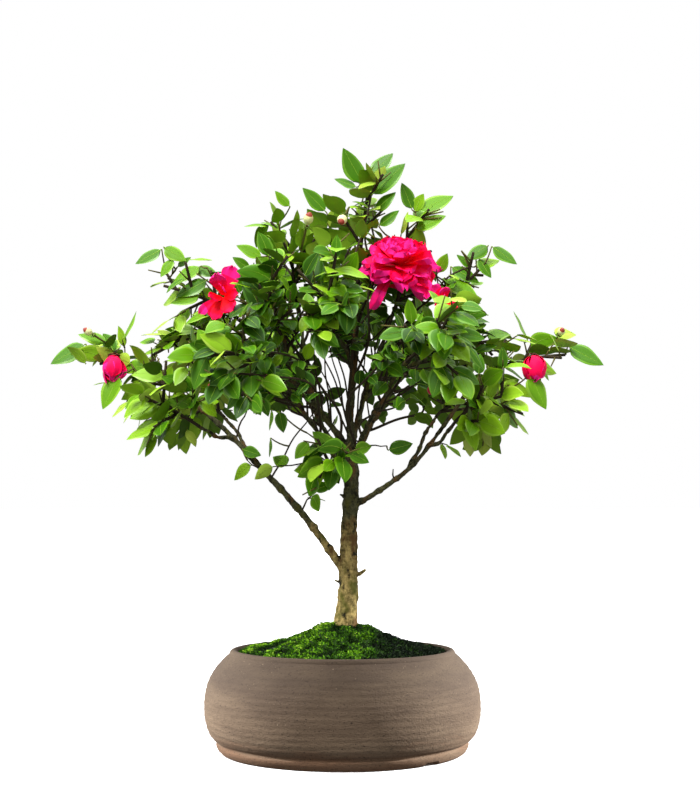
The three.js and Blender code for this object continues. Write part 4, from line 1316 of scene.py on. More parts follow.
def make_soil():
    rim = RIM_RADIUS + LIP_RADIUS - WALL
    edge = float(moss_height(MOSS_EDGE_RADIUS)) - MOSS_THICKNESS
    wall = wall_outline(-WALL - GAP)
    wall = wall[wall[:, 1] < edge - SOIL_EDGE["above_wall"]]
    floor = wall[0][1] + GAP
    profile = [(0, floor), (wall[0][0], floor), *wall[1:]]
    profile += [(rim - SOIL_EDGE["inward"], edge - SOIL_EDGE["down"])]
    radii = np.linspace(rim - SOIL_TOP_SPAN[0], SOIL_TOP_SPAN[1], SOIL_TOP_ROWS)
    profile += [(radius, float(moss_height(radius)) - MOSS_THICKNESS - GAP) for radius in radii]
    profile += [(0, GROUND_HEIGHT)]
    mesh = Pile(*turned(profile, SOIL_SIDES)).mesh("potting_soil")
    piece(mesh, [soil_look()], ["soil"])


def make_moss_bed():
    rings = []
    for radius in MOSS_UNDERSIDE:
        under = float(moss_height(radius)) - MOSS_THICKNESS
        rings.append([(x, y, under) for x, y in radius * circle(MOSS_SIDES)])
    for radius in np.linspace(MOSS_REACH, MOSS_INNERMOST, MOSS_ROWS):
        rings.append([(x, y, moss_top(x, y)) for x, y in radius * circle(MOSS_SIDES)])
    mesh = Pile(*rings_solid(np.array(rings))).mesh("moss_bed")
    piece(mesh, [moss_look()], ["moss"])


# Fronds: short bent blades of three faces, in tints dealt out by cushion and by the shady side: painted
# light on the crests, painted shade in the valleys and on the shady side.
def make_moss_fronds():
    draws = np.random.default_rng(FROND_SEED)
    radius = MOSS_REACH * np.sqrt(draws.random(FROND_COUNT))
    turn = 2 * np.pi * draws.random(FROND_COUNT)
    x, y = radius * np.cos(turn), radius * np.sin(turn)
    foot = np.stack((x, y, [moss_top(*place) - FROND_SINK for place in zip(x, y)]), axis=1)
    clear = np.hypot(x - TRUNK_FOOT[0], y - TRUNK_FOOT[1]) > TRUNK_RADIUS["foot"] + FROND_CLEARANCE
    outward = units(np.stack((x, y, np.full(FROND_COUNT, float(FROND_CENTRE))), axis=1))
    along = outward + FROND_SPREAD * draws.normal(size=(FROND_COUNT, 3)) * (1, 1, FROND_SPREAD_UP)
    along[:, 2] = np.abs(along[:, 2]) + FROND_RISE
    along = units(along)
    across = units(np.cross(along, draws.normal(size=(FROND_COUNT, 3))))
    length = between(FROND_LENGTH, draws.random(FROND_COUNT))[:, None]
    half = across * FROND_WIDTH / 2
    base = FROND_FOOT * half
    middle = foot + along * length * FROND_WIDEST
    tip = foot + along * length - np.array((0, 0, FROND_DROOP)) * length
    corners = np.stack((foot - base, foot + base, middle - half, middle + half, tip), axis=1)
    faces = np.array(((0, 1, 3), (0, 3, 2), (2, 3, 4)))
    patch = np.array([noise_at((*place, 1.0), (PATCH_SIZE, PATCH_SIZE, 1)) for place in zip(x, y)])
    painted_light_crest = np.array([moss_relief(*place)[1] for place in zip(x, y)])
    shade = np.clip((x - SHADY_SIDE[0] + SHADE_STRAY * patch) / (SHADY_SIDE[1] - SHADY_SIDE[0]), 0, 1)
    # painted light on the crests and painted shade in the valleys, on patches and tones that differ at
    # random
    tone = FROND_TONE["start"] + FROND_TONE["painted_light_crest"] * painted_light_crest + FROND_TONE["patch"] * patch
    tone = tone + FROND_TONE["chance"] * draws.normal(size=FROND_COUNT) - FROND_TONE["shade"] * shade
    tint = np.clip(np.round(tone), 0, len(MOSS_TINTS) - 1).astype(int)
    for i, look in enumerate(tint_looks("moss", MOSS_TINTS, roughness=0.9, specular=0.08)):
        chosen = corners[clear & (tint == i)]
        starts = corners.shape[1] * np.arange(len(chosen))[:, None, None]
        piece(Pile(chosen, faces + starts).mesh(f"moss_fronds_{i}"), [look], ["moss"])


# Trunk and boughs, as one body with smooth forks and rough bark
LIMB_VOXEL = 0.75
LIMB_SIDES = 14
LIMB_STEP = 3
TRUNK_ROWS = 60
TRUNK_SIDES = 28
SMOOTHING = {"factor": 0.5, "iterations": 4}
FORK_SWELL = 0.3
FORK_REACH = 0.07
TRUNK_BARK = 1.5
BOUGH_BARK = 0.7
BARK_CHANGE = (14, 5)  # the trunk's bark ends this far from its axis, and fades over this
BARK_RELIEF = (
    # weight, sizes of its lumps: fissures, scales, knots
    (0.5, (2.6, 2.6, 9)),
    (0.35, (3, 3, 2.4)),
    (0.8, (6, 6, 7)),
)
BARK_RISE = 4  # above the ground the bark reaches its depth within this height
BARK_PARTS = 40  # the distances are found in this many parts, to save memory
KNOT_SWELL = 0.35
KNOT_SPACING = 3.4


def swollen_tube(limb):
    count = max(3, math.ceil(limb.length / LIMB_STEP) + 1)
    shares = np.linspace(0, 1, count)
    swell = 1 + FORK_SWELL * np.exp(-shares / FORK_REACH)
    knots = 1 + KNOT_SWELL * np.maximum(0, np.sin(limb.length * shares / KNOT_SPACING + limb.phase)) ** 4
    return tube(limb.at(shares), limb.radius_at(shares) * swell * knots, LIMB_SIDES)


def make_limbs():
    shares = np.linspace(0, 1, TRUNK_ROWS)
    pile = Pile(*tube(TRUNK.at(shares), TRUNK.radius_at(shares), TRUNK_SIDES))
    for limb in (*BOUGH_LIMBS.values(), *stub_limbs(TRUNK)):
        pile.add(*swollen_tube(limb))
    limbs = piece(pile.mesh("trunk_and_boughs"), [bark_look()], LIMB_NODES)
    remesh = limbs.modifiers.new("remesh", "REMESH")
    remesh.mode = "VOXEL"
    remesh.voxel_size = LIMB_VOXEL * MM
    smooth = limbs.modifiers.new("smooth", "SMOOTH")
    smooth.factor = SMOOTHING["factor"]
    smooth.iterations = SMOOTHING["iterations"]
    mesh = settle(limbs)
    roughen(mesh)
    mesh.shade_smooth()


# Bark relief: fissures, scales and knots, deeper on the trunk than on the boughs.
def roughen(mesh):
    count = len(mesh.vertices)
    places = np.empty(3 * count)
    normals = np.empty(3 * count)
    mesh.vertices.foreach_get("co", places)
    mesh.vertices.foreach_get("normal", normals)
    places = places.reshape(-1, 3) / MM
    normals = normals.reshape(-1, 3)
    parts = np.array_split(places, BARK_PARTS)
    near = np.concatenate([distances(part, TRUNK.pieces()).min(axis=1) for part in parts])
    trunk_share = np.clip((BARK_CHANGE[0] - near) / BARK_CHANGE[1], 0, 1)
    depth = BOUGH_BARK + (TRUNK_BARK - BOUGH_BARK) * trunk_share
    relief = np.zeros(count)
    for weight, sizes in BARK_RELIEF:
        relief += weight * np.array([noise_at(place, sizes) for place in places])
    ground = np.clip((places[:, 2] - TRUNK_FOOT[2]) / BARK_RISE, 0, 1)
    moved = places + normals * (relief * depth * ground)[:, None]
    mesh.vertices.foreach_set("co", (moved * MM).ravel())
    mesh.update()


# Leaves
BLADE_SEED = 11
BLADE_SPAN = (0.015, 0.992)  # first and last rows, as shares of its length
BLADE_ROWS = 9
BLADE_COLUMNS = np.array((-1, -0.76, -0.38, 0, 0.38, 0.76, 1))
BLADE_SHARE = 0.82  # of the length of the source's leaf
BLADE_HANG = (0.0, 0.45)  # how far the stalk lets the blade hang
BLADE_LIFT = 0.5  # how far the blade's face turns up to the light
BLADE_ROLL = 0.3
BLADE_TURN = 0.7  # how far its face turns to the nearer of the front and the back
TURN_MIDDLE = 0.4  # where that turn changes over, in shares of the next distance
TURN_WIDTH = 25
BLADE_WIDTH = 0.56
BLADE_FULLNESS = (0.6, 0.98)  # roundness at the stalk and at the tip
BLADE_ARCH = (0.2, 1.0)  # how far the blade bends over towards its tip
BLADE_CHANNEL = (0.12, 0.3)
BLADE_CURL = (0.12, 0.36)
BLADE_THICKNESS = 0.4
BLADE_WAVE = 0.03
BLADE_WAVES = 9
WAVE_PHASE = (0, 6.3)
LEAF_SHARP = 70
VEIN_COUNT = 4.5
VEIN_DEPTH = 0.03
MIDRIB_RADIUS = (0.75, 0.42, 0.12)
MIDRIB_SHARES = (-0.05, 0.05, 1)  # where it has these radii; it starts in the stalk
MIDRIB_ANGLES = (90, 210, 330)
TONE_SEED = 23
TONE_WEIGHTS = {"reach": 0.5, "spray": 0.35, "leaf": 0.25, "share": 0.12}
FARTHEST_REACH = 0.85
UP = np.array((0, 0, 1))
BACK = np.array((0, 1, 0))


class Blades:
    """The shapes of many leaves at once, as arrays with a row for each leaf."""

    def __init__(self, leaves):
        self.draws = np.random.default_rng(BLADE_SEED)
        self.count = len(leaves)
        self.share = np.linspace(*BLADE_SPAN, BLADE_ROWS + 1)
        self.root = np.array([leaf.root for leaf in leaves])
        self.length = np.array([leaf.length for leaf in leaves]) * BLADE_SHARE
        is_free = np.array([0.0 if leaf.is_mark else 1.0 for leaf in leaves])[:, None]
        along = np.array([leaf.along for leaf in leaves]) - is_free * self.pick(BLADE_HANG, 1) * UP
        along = units(along)
        facing = np.array([leaf.over for leaf in leaves]) + is_free * BLADE_LIFT * UP
        turn = BLADE_TURN * np.tanh(self.root[:, 1:2] / TURN_WIDTH - TURN_MIDDLE)
        facing = facing + is_free * turn * BACK
        facing = facing + is_free * self.draws.normal(0, BLADE_ROLL, (self.count, 3))
        self.across = units(np.cross(facing, along))
        arch = is_free[..., None] * self.pick(BLADE_ARCH, 2) * self.share[:, None]
        onward = units(along[:, None] - arch * UP)
        blade = self.length[:, None, None] * (1 - LEAF_STALK)
        steps = blade * np.diff(self.share)[:, None] * (onward[:, 1:] + onward[:, :-1]) / 2
        start = (self.root + along * self.length[:, None] * LEAF_STALK)[:, None]
        self.spine = np.concatenate((start, start + np.cumsum(steps, axis=1)), axis=1)
        self.over = units(np.cross(onward, self.across[:, None]))

    # A random value for each leaf, with room for as many further axes.
    def pick(self, span, axes):
        return self.draws.uniform(*span, self.count).reshape(-1, *(1,) * axes)

    # Points of every leaf's upper face: leaves by rows by columns by 3.
    def surface(self):
        share = self.share[:, None]
        edge = np.abs(BLADE_COLUMNS)
        start, tip = BLADE_FULLNESS
        widest = start / (start + tip)
        half = BLADE_WIDTH / 2 * (share / widest) ** start * ((1 - share) / (1 - widest)) ** tip
        lift = half * (self.pick(BLADE_CHANNEL, 2) * edge - self.pick(BLADE_CURL, 2) * edge**2)
        phase = self.pick(WAVE_PHASE, 2)
        wave = BLADE_WAVE * np.sin(BLADE_WAVES * share + phase) * edge**2 * half / BLADE_WIDTH
        veins = VEIN_DEPTH * np.cos(2 * np.pi * (VEIN_COUNT * share - edge)) * edge * (1 - edge) * half
        size = self.length[:, None, None, None]
        sideways = size * (half * BLADE_COLUMNS)[..., None] * self.across[:, None, None]
        upward = size * (lift + wave + veins)[..., None] * self.over[:, :, None]
        return self.spine[:, :, None] + sideways + upward


# Triangles of a closed blade's upper and lower faces, and which corners the lower has of its own.
def blade_faces():
    rows, columns = BLADE_ROWS + 1, len(BLADE_COLUMNS)
    upper = np.arange(rows * columns).reshape(rows, columns)
    inner = np.zeros((rows, columns), bool)
    inner[1:-1, 1:-1] = True
    lower = upper.copy()
    lower[inner] = rows * columns + np.arange(inner.sum())
    return grid_faces(upper)[:, ::-1], grid_faces(lower), inner


# 1 for the upper triangles along a blade's edges, which have the next lighter tint, a painted highlight on
# a paler edge, else 0.
def blade_rim_highlight():
    columns = len(BLADE_COLUMNS) - 1
    row = np.zeros(columns, np.int32)
    row[[0, -1]] = 1
    return np.tile(row, 2 * BLADE_ROWS)


def make_leaves(leaves):
    blades = Blades(leaves)
    top = blades.surface()
    upper, lower, inner = blade_faces()
    under = (top - BLADE_THICKNESS * blades.over[:, :, None])[:, inner]
    corners = np.concatenate((top.reshape(blades.count, -1, 3), under), axis=1)
    tint = leaf_tints(leaves)
    for i, (_, colour, pale) in enumerate(LEAF_TINTS):
        chosen = corners[tint == i]
        starts = corners.shape[1] * np.arange(len(chosen))[:, None, None]
        pile = Pile(chosen, upper + starts, np.tile(blade_rim_highlight(), len(chosen)))
        pile.add(np.zeros((0, 3)), lower + starts - pile.count, 2)
        # the rim's tint: a painted highlight along the edge, on a paler edge
        rim_highlight_colour = LEAF_TINTS[min(i + 1, len(LEAF_TINTS) - 1)][1]
        looks = [
            Look(f"leaf_{i}", colour, roughness=0.4, specular=0.15).material,
            Look(f"leaf_rim_highlight_{i}", rim_highlight_colour, roughness=0.35, specular=0.35).material,
            Look(f"leaf_back_{i}", pale, roughness=0.6, specular=0.15).material,
        ]
        piece(pile.mesh(f"leaves_{i}"), looks, LEAF_NODES, LEAF_SHARP)
    make_midribs(blades)


# Tints dealt out by rank: darker inside the head, partly as painted shade, and brighter towards the outside
# and the ends of shoots; marks have their own.
def leaf_tints(leaves):
    draws = np.random.default_rng(TONE_SEED)
    sprays = {leaf.spray: draws.random() for leaf in leaves}
    root = np.array([leaf.root for leaf in leaves])
    reach = np.linalg.norm((root - FOLIAGE_MIDDLE) / TINT_REACH, axis=1)
    tone = TONE_WEIGHTS["reach"] * np.minimum(reach, FARTHEST_REACH)
    tone = tone + TONE_WEIGHTS["spray"] * np.array([sprays[leaf.spray] for leaf in leaves])
    tone = tone + TONE_WEIGHTS["leaf"] * draws.random(len(leaves))
    tone = tone + TONE_WEIGHTS["share"] * np.array([leaf.share for leaf in leaves])
    order = np.argsort(np.argsort(tone)) / len(leaves)
    limits = np.cumsum([share for share, _, _ in LEAF_TINTS])[:-1]
    tints = np.searchsorted(limits, order)
    is_mark = np.array([leaf.is_mark for leaf in leaves])
    tints[is_mark] = draws.choice(MARK_TINTS, is_mark.sum())
    return tints


# Each leaf's stalk goes on as its midrib: a slim three-sided ridge through the blade.
def make_midribs(blades):
    places = np.concatenate((blades.root[:, None], blades.spine[:, :-1]), axis=1)
    over = np.concatenate((blades.over[:, :1], blades.over[:, :-1]), axis=1)
    share = np.concatenate((MIDRIB_SHARES[:1], blades.share[:-1]))
    radius = np.interp(share, MIDRIB_SHARES, MIDRIB_RADIUS)[:, None, None]
    angles = np.radians(MIDRIB_ANGLES)[:, None]
    pile = Pile()
    for points, upward, across in zip(places, over, blades.across):
        ring = np.cos(angles) * across + np.sin(angles) * upward[:, None]
        pile.add(*rings_solid(points[:, None] + radius * ring))
    look = Look("midrib", MIDRIB_COLOUR, roughness=0.5, specular=0.2)
    piece(pile.mesh("leaf_midribs"), [look.material], LEAF_NODES)


# Sides, and millimetres from ring to ring
STEM_TUBE = (8, 7)
TWIG_TUBE = (6, 8)
SPRIG_TUBE = (5, 8)
SHOOT_TUBE = (6, 6)
STALK_TUBE = (5, 6)


def make_twigs(foliages, inner_shoots, stalks):
    twigs = Pile()
    sprigs = Pile()
    for foliage in foliages.values():
        twigs.add(*limb_tube(foliage.stem, *STEM_TUBE, reach_to_sky(foliage.stem)))
        for twig in foliage.twigs:
            twigs.add(*limb_tube(twig, *TWIG_TUBE, reach_to_sky(twig)))
        for sprig in foliage.sprigs:
            sprigs.add(*limb_tube(sprig, *SPRIG_TUBE))
    for shoot in inner_shoots:
        twigs.add(*limb_tube(shoot, *SHOOT_TUBE))
    for stalk in stalks:
        sprigs.add(*limb_tube(stalk, *STALK_TUBE))
    look = Look("twig", TWIG_COLOUR, roughness=0.85, specular=0.15)
    piece(twigs.mesh("twigs"), [look.material], LEAF_NODES)
    look = Look("fine_twig", SPRIG_COLOUR, roughness=0.75, specular=0.2)
    piece(sprigs.mesh("fine_twigs"), [look.material], LEAF_NODES)


# Flowers
FLOWER_SEED = 31
PETAL_ROWS = 12
PETAL_COLUMNS = 11
PETAL_THICKNESS = 0.35
PETAL_START = 0.06  # the root's distance from the axis, a share of the flower's radius
PETAL_OUTLINE = {"root": 0.06, "root_power": 0.75, "tip": 1.05, "tip_power": 6}
PETAL_NOTCH = {"depth": 0.09, "middle": 0.25}
PETAL_CUP = 0.26
PETAL_WAVES = ((2.2, 1), (3.7, 0.5))  # half-waves across it, height
RUFFLE_MIDDLE = 0.35
RUFFLES = {"closed": 0.02, "loose": 0.05, "open": 0.1}
PETAL_SHARP = 50
PETAL_SCATTER = {"turn": 0.18, "size": (0.86, 1.1), "lean": 9, "tip_lean": 20}
PETAL_FADE = {"along": 4.2, "chance": 1.6, "start": 1.2}
CLOSED_FADE = {"start": 0.6, "along": 0.3}
STALK_REACH = 0.9
SINGLE_HEIGHT = -0.3  # of the root of a petal that is listed, up the axis
BLOOM_TILT = 0.9  # the open blooms look up more than their stalks do
WHORLS = (
    # petals, lean at root and at tip in degrees; length, width, height up the axis as shares of the radius
    (7, 84, 112, 0.96, 0.92, -0.3),
    (7, 70, 98, 0.9, 0.86, -0.26),
    (6, 54, 84, 0.82, 0.82, -0.22),
    (5, 38, 66, 0.73, 0.78, -0.18),
    (5, 24, 48, 0.63, 0.66, -0.14),
    (4, 12, 30, 0.54, 0.58, -0.1),
    (4, 2, 14, 0.44, 0.46, -0.08),
)
# Two long petals that hang from the large bloom: turn, leans, length, width
LONG_PETALS = (
    (232, (96, 150), 1.3, 0.5),
    (305, (84, 132), 1.16, 0.92),
)
# Loose flowers of a few petals: turn, leans, length, width, and how pink it is
LOOSE_FLOWERS = ("left", "right")
LOOSE_SHIFT = np.array((0.15, 0, -0.5))  # shares of the radius
LOOSE_MIRROR = 380  # the right one is the left one mirrored: its turns are this less the left one's
LOOSE_PETALS = (
    (150, (84, 62), 1.4, 1.3, 1),
    (178, (60, 30), 1.1, 1.1, 0.8),
    (128, (40, 4), 0.8, 0.8, 0.4),
    (308, (36, 12), 0.8, 0.8, 0),
    (298, (80, 118), 1.45, 0.7, 0.9),
    (340, (74, 96), 1.1, 1.0, 0),
    (34, (64, 88), 1.0, 1.05, 0),
    (83, (60, 82), 0.85, 0.8, 0),
)
# Flowers at the tips hang and are still closed.
CLOSED_FLOWERS = ("left_tip", "right_tip")
CLOSED_AXIS = np.array((0, -0.45, -1))
CLOSED_WHORLS = (
    (4, 76, -64, 2.4, 1.7, -0.9),
    (3, 62, -56, 2.3, 1.5, -0.86),
    (3, 44, -44, 2.2, 1.2, -0.82),
)
CALYX = (
    (5, 80, 45, 0.42, 0.42, -0.5),
    (4, 70, 25, 0.5, 0.44, -0.46),
)
# How far behind the flower's middle the calyx sits, and its size, as shares of the flower's radius
CALYX_OF_OPEN = (0.3, 0.6)
CALYX_OF_CLOSED = (0.5, 1.1)
CALYX_OF_BUD = 1.7


class Petals:
    """Petals of whorls about an axis, each a closed cupped and ruffled sheet."""

    def __init__(self, middle, axis, radius, draws, ruffle=0.0):
        self.middle = np.array(middle, float)
        self.axis = unit(np.array(axis, float))
        self.side, self.over = square_to(self.axis)
        self.radius = radius
        self.draws = draws
        self.ruffle = ruffle

    # Adds a whorl to a pile; `look_at` gives the material at shares of a petal's length.
    def whorl(self, pile, look_at, petals, lean, tip_lean, length, width, height):
        first = self.draws.uniform(0, 2 * np.pi)
        for i in range(petals):
            turn = first + 2 * np.pi * (i + self.stray("turn")) / petals
            stretch = self.draws.uniform(*PETAL_SCATTER["size"])
            leans = np.radians((lean + self.stray("lean"), tip_lean + self.stray("tip_lean")))
            corners, faces, shares = self.petal(turn, leans, length * stretch, width * stretch, height)
            pile.add(corners, faces, look_at(shares, self.draws.random()))

    def stray(self, kind):
        return self.draws.uniform(-PETAL_SCATTER[kind], PETAL_SCATTER[kind])

    # Adds one petal that is listed, with angles in degrees.
    def single(self, pile, turn, leans, length, width, pink):
        angles = (math.radians(turn), np.radians(leans))
        corners, faces, shares = self.petal(*angles, length, width, SINGLE_HEIGHT)
        pile.add(corners, faces, petal_look(shares, pink))

    # Corners and triangles of a petal, and each triangle's share of its length.
    def petal(self, turn, leans, length, width, height):
        share = np.linspace(0.0, 1.0, PETAL_ROWS)
        column = np.linspace(-1, 1, PETAL_COLUMNS)
        radial = self.side * math.cos(turn) + self.over * math.sin(turn)
        across = np.cross(self.axis, radial)
        lean = leans[0] + (leans[1] - leans[0]) * share
        onward = np.cos(lean)[:, None] * self.axis + np.sin(lean)[:, None] * radial
        inward = np.sin(lean)[:, None] * self.axis - np.cos(lean)[:, None] * radial
        step = length * self.radius / (PETAL_ROWS - 1)
        spine = np.concatenate((np.zeros((1, 3)), np.cumsum((onward[1:] + onward[:-1]) / 2 * step, axis=0)))
        spine = spine + self.middle + self.axis * height * self.radius + radial * PETAL_START * self.radius
        outline = (share + PETAL_OUTLINE["root"]) ** PETAL_OUTLINE["root_power"]
        outline = outline * np.sqrt(PETAL_OUTLINE["tip"] - share ** PETAL_OUTLINE["tip_power"])
        half = width * self.radius / 2 * outline
        phase = self.draws.uniform(0, 2 * np.pi)
        edge = np.abs(column)
        size = length * self.radius
        notch = PETAL_NOTCH["depth"] * size * (np.sin(np.pi * edge) - PETAL_NOTCH["middle"])
        notch = notch * share[:, None] ** 4
        cup = PETAL_CUP * half[:, None] * column**2
        waves = sum(
            rise * np.sin(count * np.pi * column + (i + 1) * phase)
            for i, (count, rise) in enumerate(PETAL_WAVES)
        )
        ruffle = self.ruffle * size * share[:, None] ** 2 * (RUFFLE_MIDDLE + edge) * waves
        places = spine[:, None] + across * (half[:, None] * column)[..., None]
        places = places + onward[:, None] * notch[..., None] + inward[:, None] * (cup + ruffle)[..., None]
        back = places - inward[:, None] * PETAL_THICKNESS
        corners, faces = sheet_solid(places, back)
        shares = np.tile(share, PETAL_COLUMNS).reshape(PETAL_COLUMNS, -1).T.ravel()
        return corners, faces, np.tile(shares, 2)[faces].mean(axis=1)


# Petals are red at the root and lighter and more purple towards the edge, partly their own colour and
# partly a painted highlight on the lit edges.
def petal_look(shares, draw):
    tone = PETAL_FADE["along"] * shares + PETAL_FADE["chance"] * draw - PETAL_FADE["start"]
    return np.clip(np.floor(tone), 0, len(PETAL_TINTS) - 1).astype(np.int32)


def closed_look(shares, draw):
    return petal_look(CLOSED_FADE["start"] + CLOSED_FADE["along"] * shares, draw)


def one_look(number):
    return lambda shares, draw: number


# A closed sheet from a grid of points and the same grid moved back, joined round the edge.
def sheet_solid(front, back):
    rows, columns = front.shape[:2]
    size = rows * columns
    grid = np.arange(size).reshape(rows, columns)
    rim = np.concatenate((grid[0, :], grid[1:, -1], grid[-1, -2::-1], grid[-2:0:-1, 0]))
    following = np.roll(rim, -1)
    first = np.stack((rim, following + size, following), axis=1)
    second = np.stack((rim, rim + size, following + size), axis=1)
    faces = np.concatenate((grid_faces(grid), grid_faces(grid)[:, ::-1] + size, first, second))
    return np.concatenate((front.reshape(-1, 3), back.reshape(-1, 3))), faces


# Buds: a place near a shoot, size, and which of the bud tints it has
BUD_ROWS = 10
BUD_SIDES = 10
BUD_LENGTH = 2.7  # a share of its radius
BUD_TIP = 0.75  # the share of its length from which it is red
BUD_OUTLINE = {"start": 0.1, "length": 0.86, "power": 0.8}  # of half a sine wave
BUD_STALK_RADIUS = (1.0, 1.2)
BUDS = (
    ((-31, -30, 478), 4.6, 0),
    ((0, -34, 478), 4.6, 0),
    ((-64, -70, 332), 4.4, 1),
    ((-230, -16, 378), 3.6, 0),
    ((198, -16, 378), 3.6, 0),
    ((-114, -70, 323), 3.8, 2),
    ((78, -60, 323), 3.8, 2),
)


# The sepals behind a flower or a bud, in one of the sepal tints.
def add_calyx(sepals, middle, axis, radius, draws, tint):
    calyx = Petals(middle, axis, radius, draws)
    for whorl in CALYX:
        calyx.whorl(sepals, one_look(tint), *whorl)


def add_closed_flower(petals, sepals, middle, radius, draws):
    closed = Petals(middle, CLOSED_AXIS, radius, draws, RUFFLES["closed"])
    for whorl in CLOSED_WHORLS:
        closed.whorl(petals, closed_look, *whorl)
    behind, size = CALYX_OF_CLOSED
    add_calyx(sepals, middle - unit(CLOSED_AXIS) * behind * radius, CLOSED_AXIS, size * radius, draws, 1)


def add_loose_petals(petals, bloom, is_mirrored):
    for turn, *shape in LOOSE_PETALS:
        bloom.single(petals, LOOSE_MIRROR - turn if is_mirrored else turn, *shape)


def add_whorls(petals, bloom):
    for whorl in WHORLS:
        bloom.whorl(petals, petal_look, *whorl)


def make_flowers(foliages):
    draws = np.random.default_rng(FLOWER_SEED)
    petals = Pile()
    sepals = Pile()
    stalks = Pile()
    for name, _, _, middle, radius, faces in FLOWERS:
        stalks.add(*limb_tube(STALKS[name], *SHOOT_TUBE, STALK_REACH))
        if name in CLOSED_FLOWERS:
            add_closed_flower(petals, sepals, middle, radius, draws)
            continue
        is_loose = name in LOOSE_FLOWERS
        axis = np.array(faces, float) + (0, 0, 0 if is_loose else BLOOM_TILT)
        middle = np.array(middle) + (LOOSE_SHIFT * radius if is_loose else 0)
        bloom = Petals(middle, axis, radius, draws, RUFFLES["loose" if is_loose else "open"])
        if is_loose:
            add_loose_petals(petals, bloom, name == "right")
        else:
            add_whorls(petals, bloom)
        for petal in LONG_PETALS if name == "large" else ():
            bloom.single(petals, *petal, pink=1)
        behind, size = CALYX_OF_OPEN
        add_calyx(sepals, middle - unit(axis) * behind * radius, axis, size * radius, draws, 0)
    looks = tint_looks("petal", PETAL_TINTS, roughness=0.6, specular=0.1)
    piece(petals.mesh("petals"), looks, FLOWER_NODES, PETAL_SHARP)
    make_buds(foliages, draws, sepals, stalks)
    looks = tint_looks("sepal", SEPAL_TINTS, roughness=0.55, specular=0.3)
    piece(sepals.mesh("sepals"), looks, FLOWER_NODES, PETAL_SHARP)
    look = Look("stalk", SPRIG_COLOUR, roughness=0.7, specular=0.25)
    piece(stalks.mesh("flower_stalks"), [look.material], FLOWER_NODES)


# A bud sits at the end of a short stalk from the nearest shoot, pointing away from it.
def make_buds(foliages, draws, sepals, stalks):
    shoots = [shoot for foliage in foliages.values() for shoot in foliage.shoots()]
    joints = joints_of(shoots)
    share = np.linspace(0, 1, BUD_ROWS)
    swell = np.sin(np.pi * (BUD_OUTLINE["start"] + BUD_OUTLINE["length"] * share)) ** BUD_OUTLINE["power"]
    buds = Pile()
    for middle, radius, tint in BUDS:
        middle = np.array(middle, float)
        nearest = nearest_to(middle, joints)
        axis = unit(middle - nearest)
        start = middle - axis * radius
        reach = BUD_LENGTH * radius
        corners, faces = tube(start + reach * share[:, None] * axis, radius * swell, BUD_SIDES)
        along = (corners[faces].mean(axis=1) - start) @ axis / reach
        buds.add(corners, faces, np.where(along > BUD_TIP, len(BUD_TINTS) - 1, tint).astype(np.int32))
        add_calyx(sepals, start, axis, CALYX_OF_BUD * radius, draws, 0)
        stalk = Limb(nearest, (nearest + start) / 2, start, tapering(*BUD_STALK_RADIUS))
        stalks.add(*limb_tube(stalk, *STALK_TUBE))
    looks = tint_looks("bud", BUD_TINTS, roughness=0.5, specular=0.3)
    piece(buds.mesh("buds"), looks, FLOWER_NODES)


# Stage, in metres and degrees; spots in watts
FLOOR_HALF = 40.0
SPOT_TARGET = (0, -0.06, 0)
SPOT_CONE = 13
SPOT_BLEND = 0.3
SPOT_SIZE = 0.05
SPOTS = (
    # name, place, power
    ("left_light", (-1.05, 0.15, 0.35), 180),
    ("right_light", (1.05, 0.15, 0.35), 235),
)
SUN_STRENGTH = 4.2
SUN_ANGLE = 25
SUN_TURN = (40, 0, -30)


def make_floor():
    size = FLOOR_HALF
    mesh = bpy.data.meshes.new("floor")
    corners = [(-size, -size, 0), (size, -size, 0), (size, size, 0), (-size, size, 0)]
    mesh.from_pydata(corners, [], [(0, 1, 2, 3)])
    floor = into_scene("floor", mesh)
    mesh.materials.append(Look("floor", FLOOR_COLOUR, roughness=0.9, specular=0.1).material)
    floor.visible_diffuse = False
    floor.visible_glossy = False
    floor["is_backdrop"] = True


def aim(made, place, target):
    made.location = place
    made.rotation_euler = (Vector(target) - Vector(place)).to_track_quat("-Z", "Y").to_euler()


# A narrow light on one side of the pot.
def make_spot(name, place, power):
    lamp = bpy.data.lights.new(name, "SPOT")
    lamp.energy = power
    lamp.spot_size = math.radians(SPOT_CONE)
    lamp.spot_blend = SPOT_BLEND
    lamp.shadow_soft_size = SPOT_SIZE
    aim(into_scene(name, lamp), place, SPOT_TARGET)


# The sine of the elevation, and the light that comes from there: a white backdrop and a light overhead.
STUDIO_LIGHT = ((-0.14, 0.4), (-0.1, 1.0), (0.34, 1.0), (0.44, 0.7), (0.72, 0.7), (0.84, 3.4))


def make_world():
    world = bpy.data.worlds.new("studio")
    world.use_nodes = True
    tree = world.node_tree
    brightest = max(light for _, light in STUDIO_LIGHT)
    rise = tree.nodes.new("ShaderNodeSeparateXYZ")
    tree.links.new(tree.nodes.new("ShaderNodeTexCoord").outputs["Generated"], rise.inputs["Vector"])
    share = tree.nodes.new("ShaderNodeMapRange")
    share.inputs["From Min"].default_value = -1
    tree.links.new(rise.outputs["Z"], share.inputs["Value"])
    ramp = tree.nodes.new("ShaderNodeValToRGB")
    tree.links.new(share.outputs["Result"], ramp.inputs["Fac"])
    stops = ramp.color_ramp.elements
    while len(stops) < len(STUDIO_LIGHT):
        stops.new(0.5)
    for stop, (sine, light) in zip(stops, STUDIO_LIGHT):
        stop.position = (sine + 1) / 2
        stop.color = (light / brightest,) * 3 + (1,)
    background = tree.nodes["Background"]
    background.inputs["Strength"].default_value = brightest
    tree.links.new(ramp.outputs["Color"], background.inputs["Color"])
    bpy.context.scene.world = world


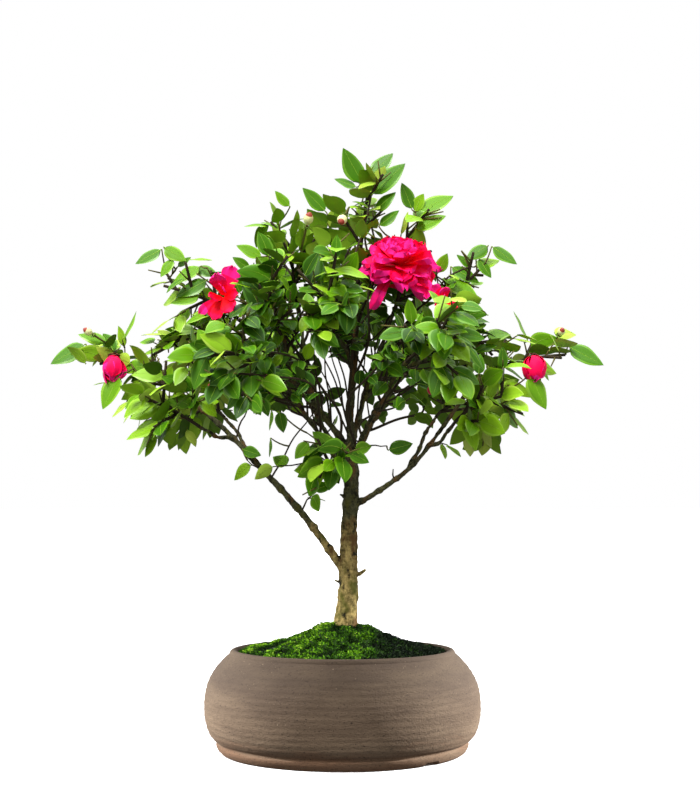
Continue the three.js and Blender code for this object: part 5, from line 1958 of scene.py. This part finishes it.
def make_stage():
    make_floor()
    make_world()
    for spot in SPOTS:
        make_spot(*spot)
    sun = bpy.data.lights.new("sun", "SUN")
    sun.energy = SUN_STRENGTH
    sun.angle = math.radians(SUN_ANGLE)
    into_scene("sun", sun).rotation_euler = [math.radians(turn) for turn in SUN_TURN]
    bpy.context.scene.view_settings.view_transform = "Standard"


def make_camera():
    data = bpy.data.cameras.new("camera")
    data.lens = CAMERA_LENS
    data.sensor_fit = "VERTICAL"
    data.sensor_height = CAMERA_SENSOR
    camera = into_scene("camera", data)
    aim(camera, CAMERA_EYE, CAMERA_TARGET)
    bpy.context.scene.camera = camera


LIMB_NODES = ["trunk"] + [f"bough_{bough[0]}" for bough in BOUGHS]
LEAF_NODES = [f"leaves_{mass[0]}" for mass in MASSES]
FLOWER_NODES = [f"flower_{flower[0]}" for flower in FLOWERS]

make_camera()
make_stage()
make_pot()
make_soil()
make_moss_bed()
make_moss_fronds()
make_limbs()
FOLIAGES = {mass[0]: Foliage(mass) for mass in MASSES}
for mass_foliage in FOLIAGES.values():
    mass_foliage.leaves = [leaf for leaf in mass_foliage.leaves if not is_in_sky(leaf.middle)]
    mass_foliage.sprigs = [sprig for sprig in mass_foliage.sprigs if not is_in_sky(sprig.tip)]
MASS_SHOOTS = [shoot for foliage in FOLIAGES.values() for shoot in foliage.shoots()]
MASS_LEAVES = [leaf for foliage in FOLIAGES.values() for leaf in foliage.leaves]
INNER_SHOOTS = side_shoots() + second_limbs(FOLIAGES)
OPEN_LIMBS, OPEN_LEAVES = open_shoots()
MARK_STALKS, MARK_LEAVES = outline_leaves(MASS_SHOOTS + OPEN_LIMBS)
make_twigs(FOLIAGES, INNER_SHOOTS + OPEN_LIMBS, MARK_STALKS)
OTHER_LEAVES = MASS_LEAVES + inner_leaves(INNER_SHOOTS, FOLIAGES) + OPEN_LEAVES
make_leaves(clear_of_marks(OTHER_LEAVES, MARK_LEAVES) + MARK_LEAVES)
make_flowers(FOLIAGES)

boxes = {"cad": CAD_BOX, "visual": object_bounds()}
{key: [list(map(float, corner)) for corner in box] for key, box in boxes.items()}
